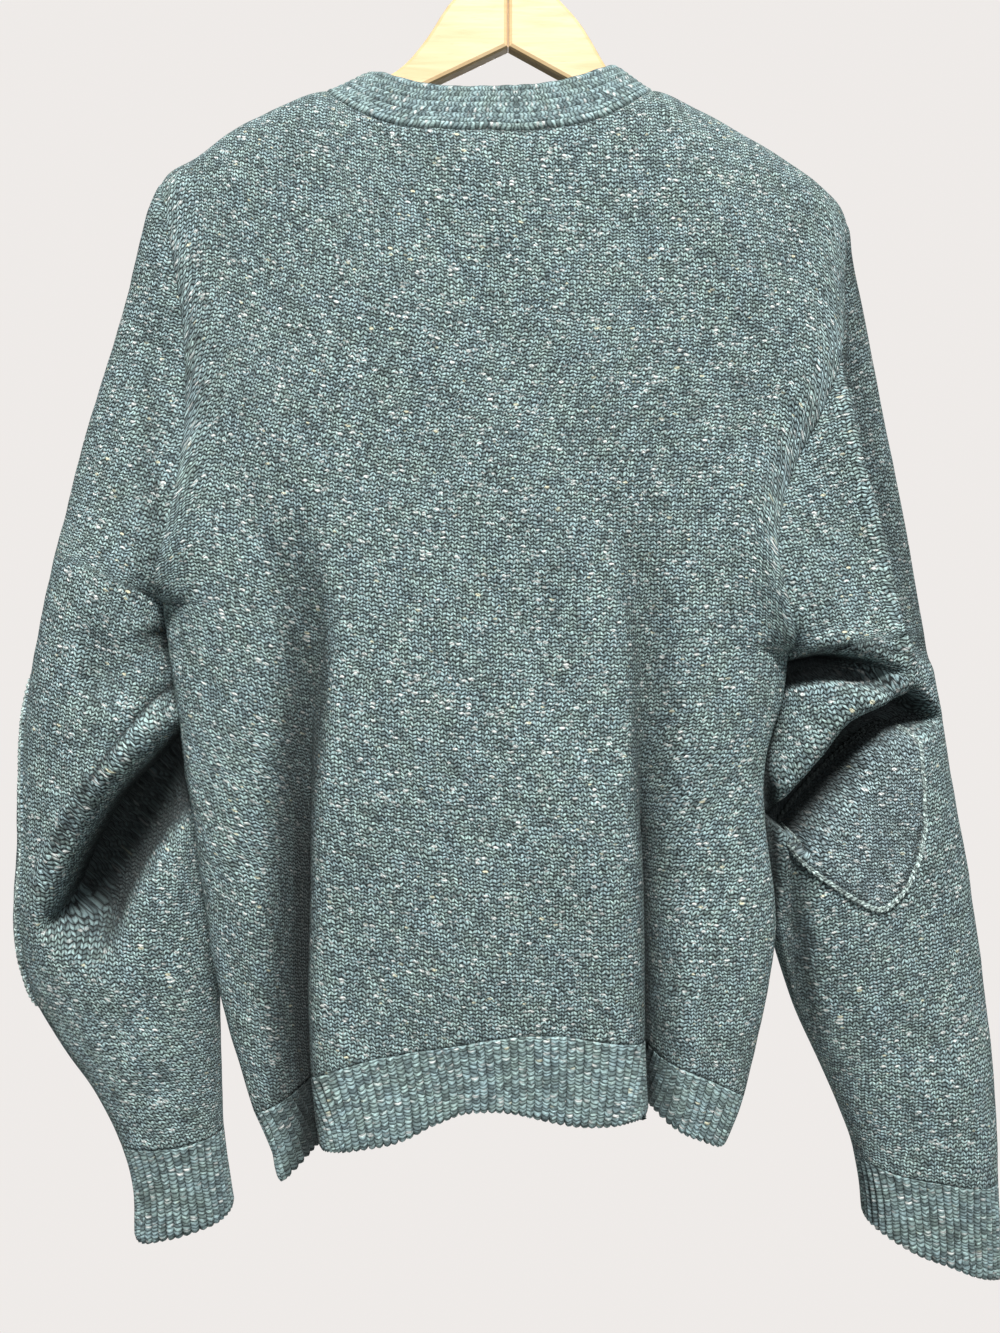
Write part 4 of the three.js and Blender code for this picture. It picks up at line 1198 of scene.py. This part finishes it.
def beech():
    material, n, shader = new_material("lacquered beech")
    place = n.put("TexCoord").outputs["Object"]
    grain = n.noise(n.scaled(place, 6.0, 60.0, 60.0), 3.0, 5.0, dimensions="3D", distortion=0.6)
    flecks = n.noise(n.scaled(place, 60.0, 400.0, 400.0), 2.0, 2.0, dimensions="3D")
    tone = n.blend(n.ramp(grain, 0.35, 0.65), (0.76, 0.56, 0.31), (0.67, 0.46, 0.23))
    tone = n.blend(n.ramp(flecks, 0.6, 0.7, 0.0, 0.35), tone, (0.60, 0.40, 0.2))
    n.set(shader["Base Color"], tone)
    n.set(shader["Roughness"], n.ramp(grain, 0.3, 0.7, 0.36, 0.5))
    bump = n.put("Bump", {"Height": grain, "Strength": 0.4, "Distance": 0.3 * MM})
    n.set(shader["Normal"], bump.outputs[0])
    shader["Coat Weight"].default_value = 0.25
    return material


def nickel():
    material, n, shader = new_material("nickel-plated wire")
    place = n.put("TexCoord").outputs["Object"]
    scratches = n.noise(n.scaled(place, 300.0, 300.0, 900.0), 1.0, 3.0, dimensions="3D")
    n.set(shader["Base Color"], n.blend(scratches, (0.62, 0.62, 0.62), (0.74, 0.74, 0.73)))
    n.set(shader["Roughness"], n.ramp(scratches, 0.3, 0.7, 0.2, 0.34))
    shader["Metallic"].default_value = 1.0
    return material


BEECH, NICKEL = beech(), nickel()
for node, material in (("hanger_arm_left", BEECH), ("hanger_arm_right", BEECH), ("hanger_hook", NICKEL)):
    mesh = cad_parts[node].data
    mesh.materials.clear()
    mesh.materials.append(material)


# ---------------------------------------------------------------- camera, light and floor


MIDDLE = (0.0, 0.0, -0.5)  # where the lights point
CAMERA_PLACE = (-0.0053, -0.8, -0.5257)
FOCAL_LENGTH = 32.73
FLOOR_LEVEL = -1.6


def make_camera():
    data = bpy.data.cameras.new("camera")
    data.lens = FOCAL_LENGTH
    data.clip_start, data.clip_end = 0.05, 20
    camera = bpy.data.objects.new("camera", data)
    camera.location = CAMERA_PLACE
    camera.rotation_euler = (math.pi / 2, 0, 0)
    bpy.context.scene.collection.objects.link(camera)
    bpy.context.scene.camera = camera


def area_light(name, place, size, power, color=(1, 1, 1)):
    data = bpy.data.lights.new(name, "AREA")
    data.shape, data.size, data.energy, data.color = "DISK", size, power, color
    light = bpy.data.objects.new(name, data)
    light.location = place
    light.rotation_euler = (Vector(MIDDLE) - Vector(place)).to_track_quat("-Z", "Y").to_euler()
    bpy.context.scene.collection.objects.link(light)


def make_world():
    """A faint light from all round, and a pale wall behind it all."""
    world = bpy.data.worlds.new("studio")
    bpy.context.scene.world = world
    world.use_nodes = True
    n = Nodes(world.node_tree)
    lit = world.node_tree.nodes["Background"]
    lit.inputs[0].default_value = (0.95, 0.98, 1.0, 1)
    lit.inputs[1].default_value = 0.1
    seen = n.put("Background", {0: (0.86, 0.83, 0.81), 1: 1.0})
    by_camera = n.put("LightPath").outputs["Is Camera Ray"]
    both = n.put("MixShader", {0: by_camera, 1: lit.outputs[0], 2: seen.outputs[0]})
    n.set(world.node_tree.nodes["World Output"].inputs[0], both.outputs[0])


def make_floor():
    bpy.ops.object.select_all(action="DESELECT")
    bpy.ops.mesh.primitive_circle_add(
        vertices=96, radius=0.8, fill_type="NGON", location=(0, 0, FLOOR_LEVEL)
    )
    floor = bpy.context.object
    floor.name = "floor"
    material, n, shader = new_material("pale floor")
    shader["Base Color"].default_value = (0.78, 0.77, 0.75, 1)
    shader["Roughness"].default_value = 0.8
    floor.data.materials.append(material)


make_camera()
make_world()
make_floor()
area_light("key", (0.2, -3.2, 3.2), 1.1, 415, (1.0, 0.99, 0.97))
area_light("fill", (0.3, -2.6, -0.2), 0.9, 15, (0.95, 0.98, 1.0))
area_light("front side", (0.6, 1.9, 0.3), 1.2, 34)
bpy.context.scene.view_settings.view_transform = "Standard"
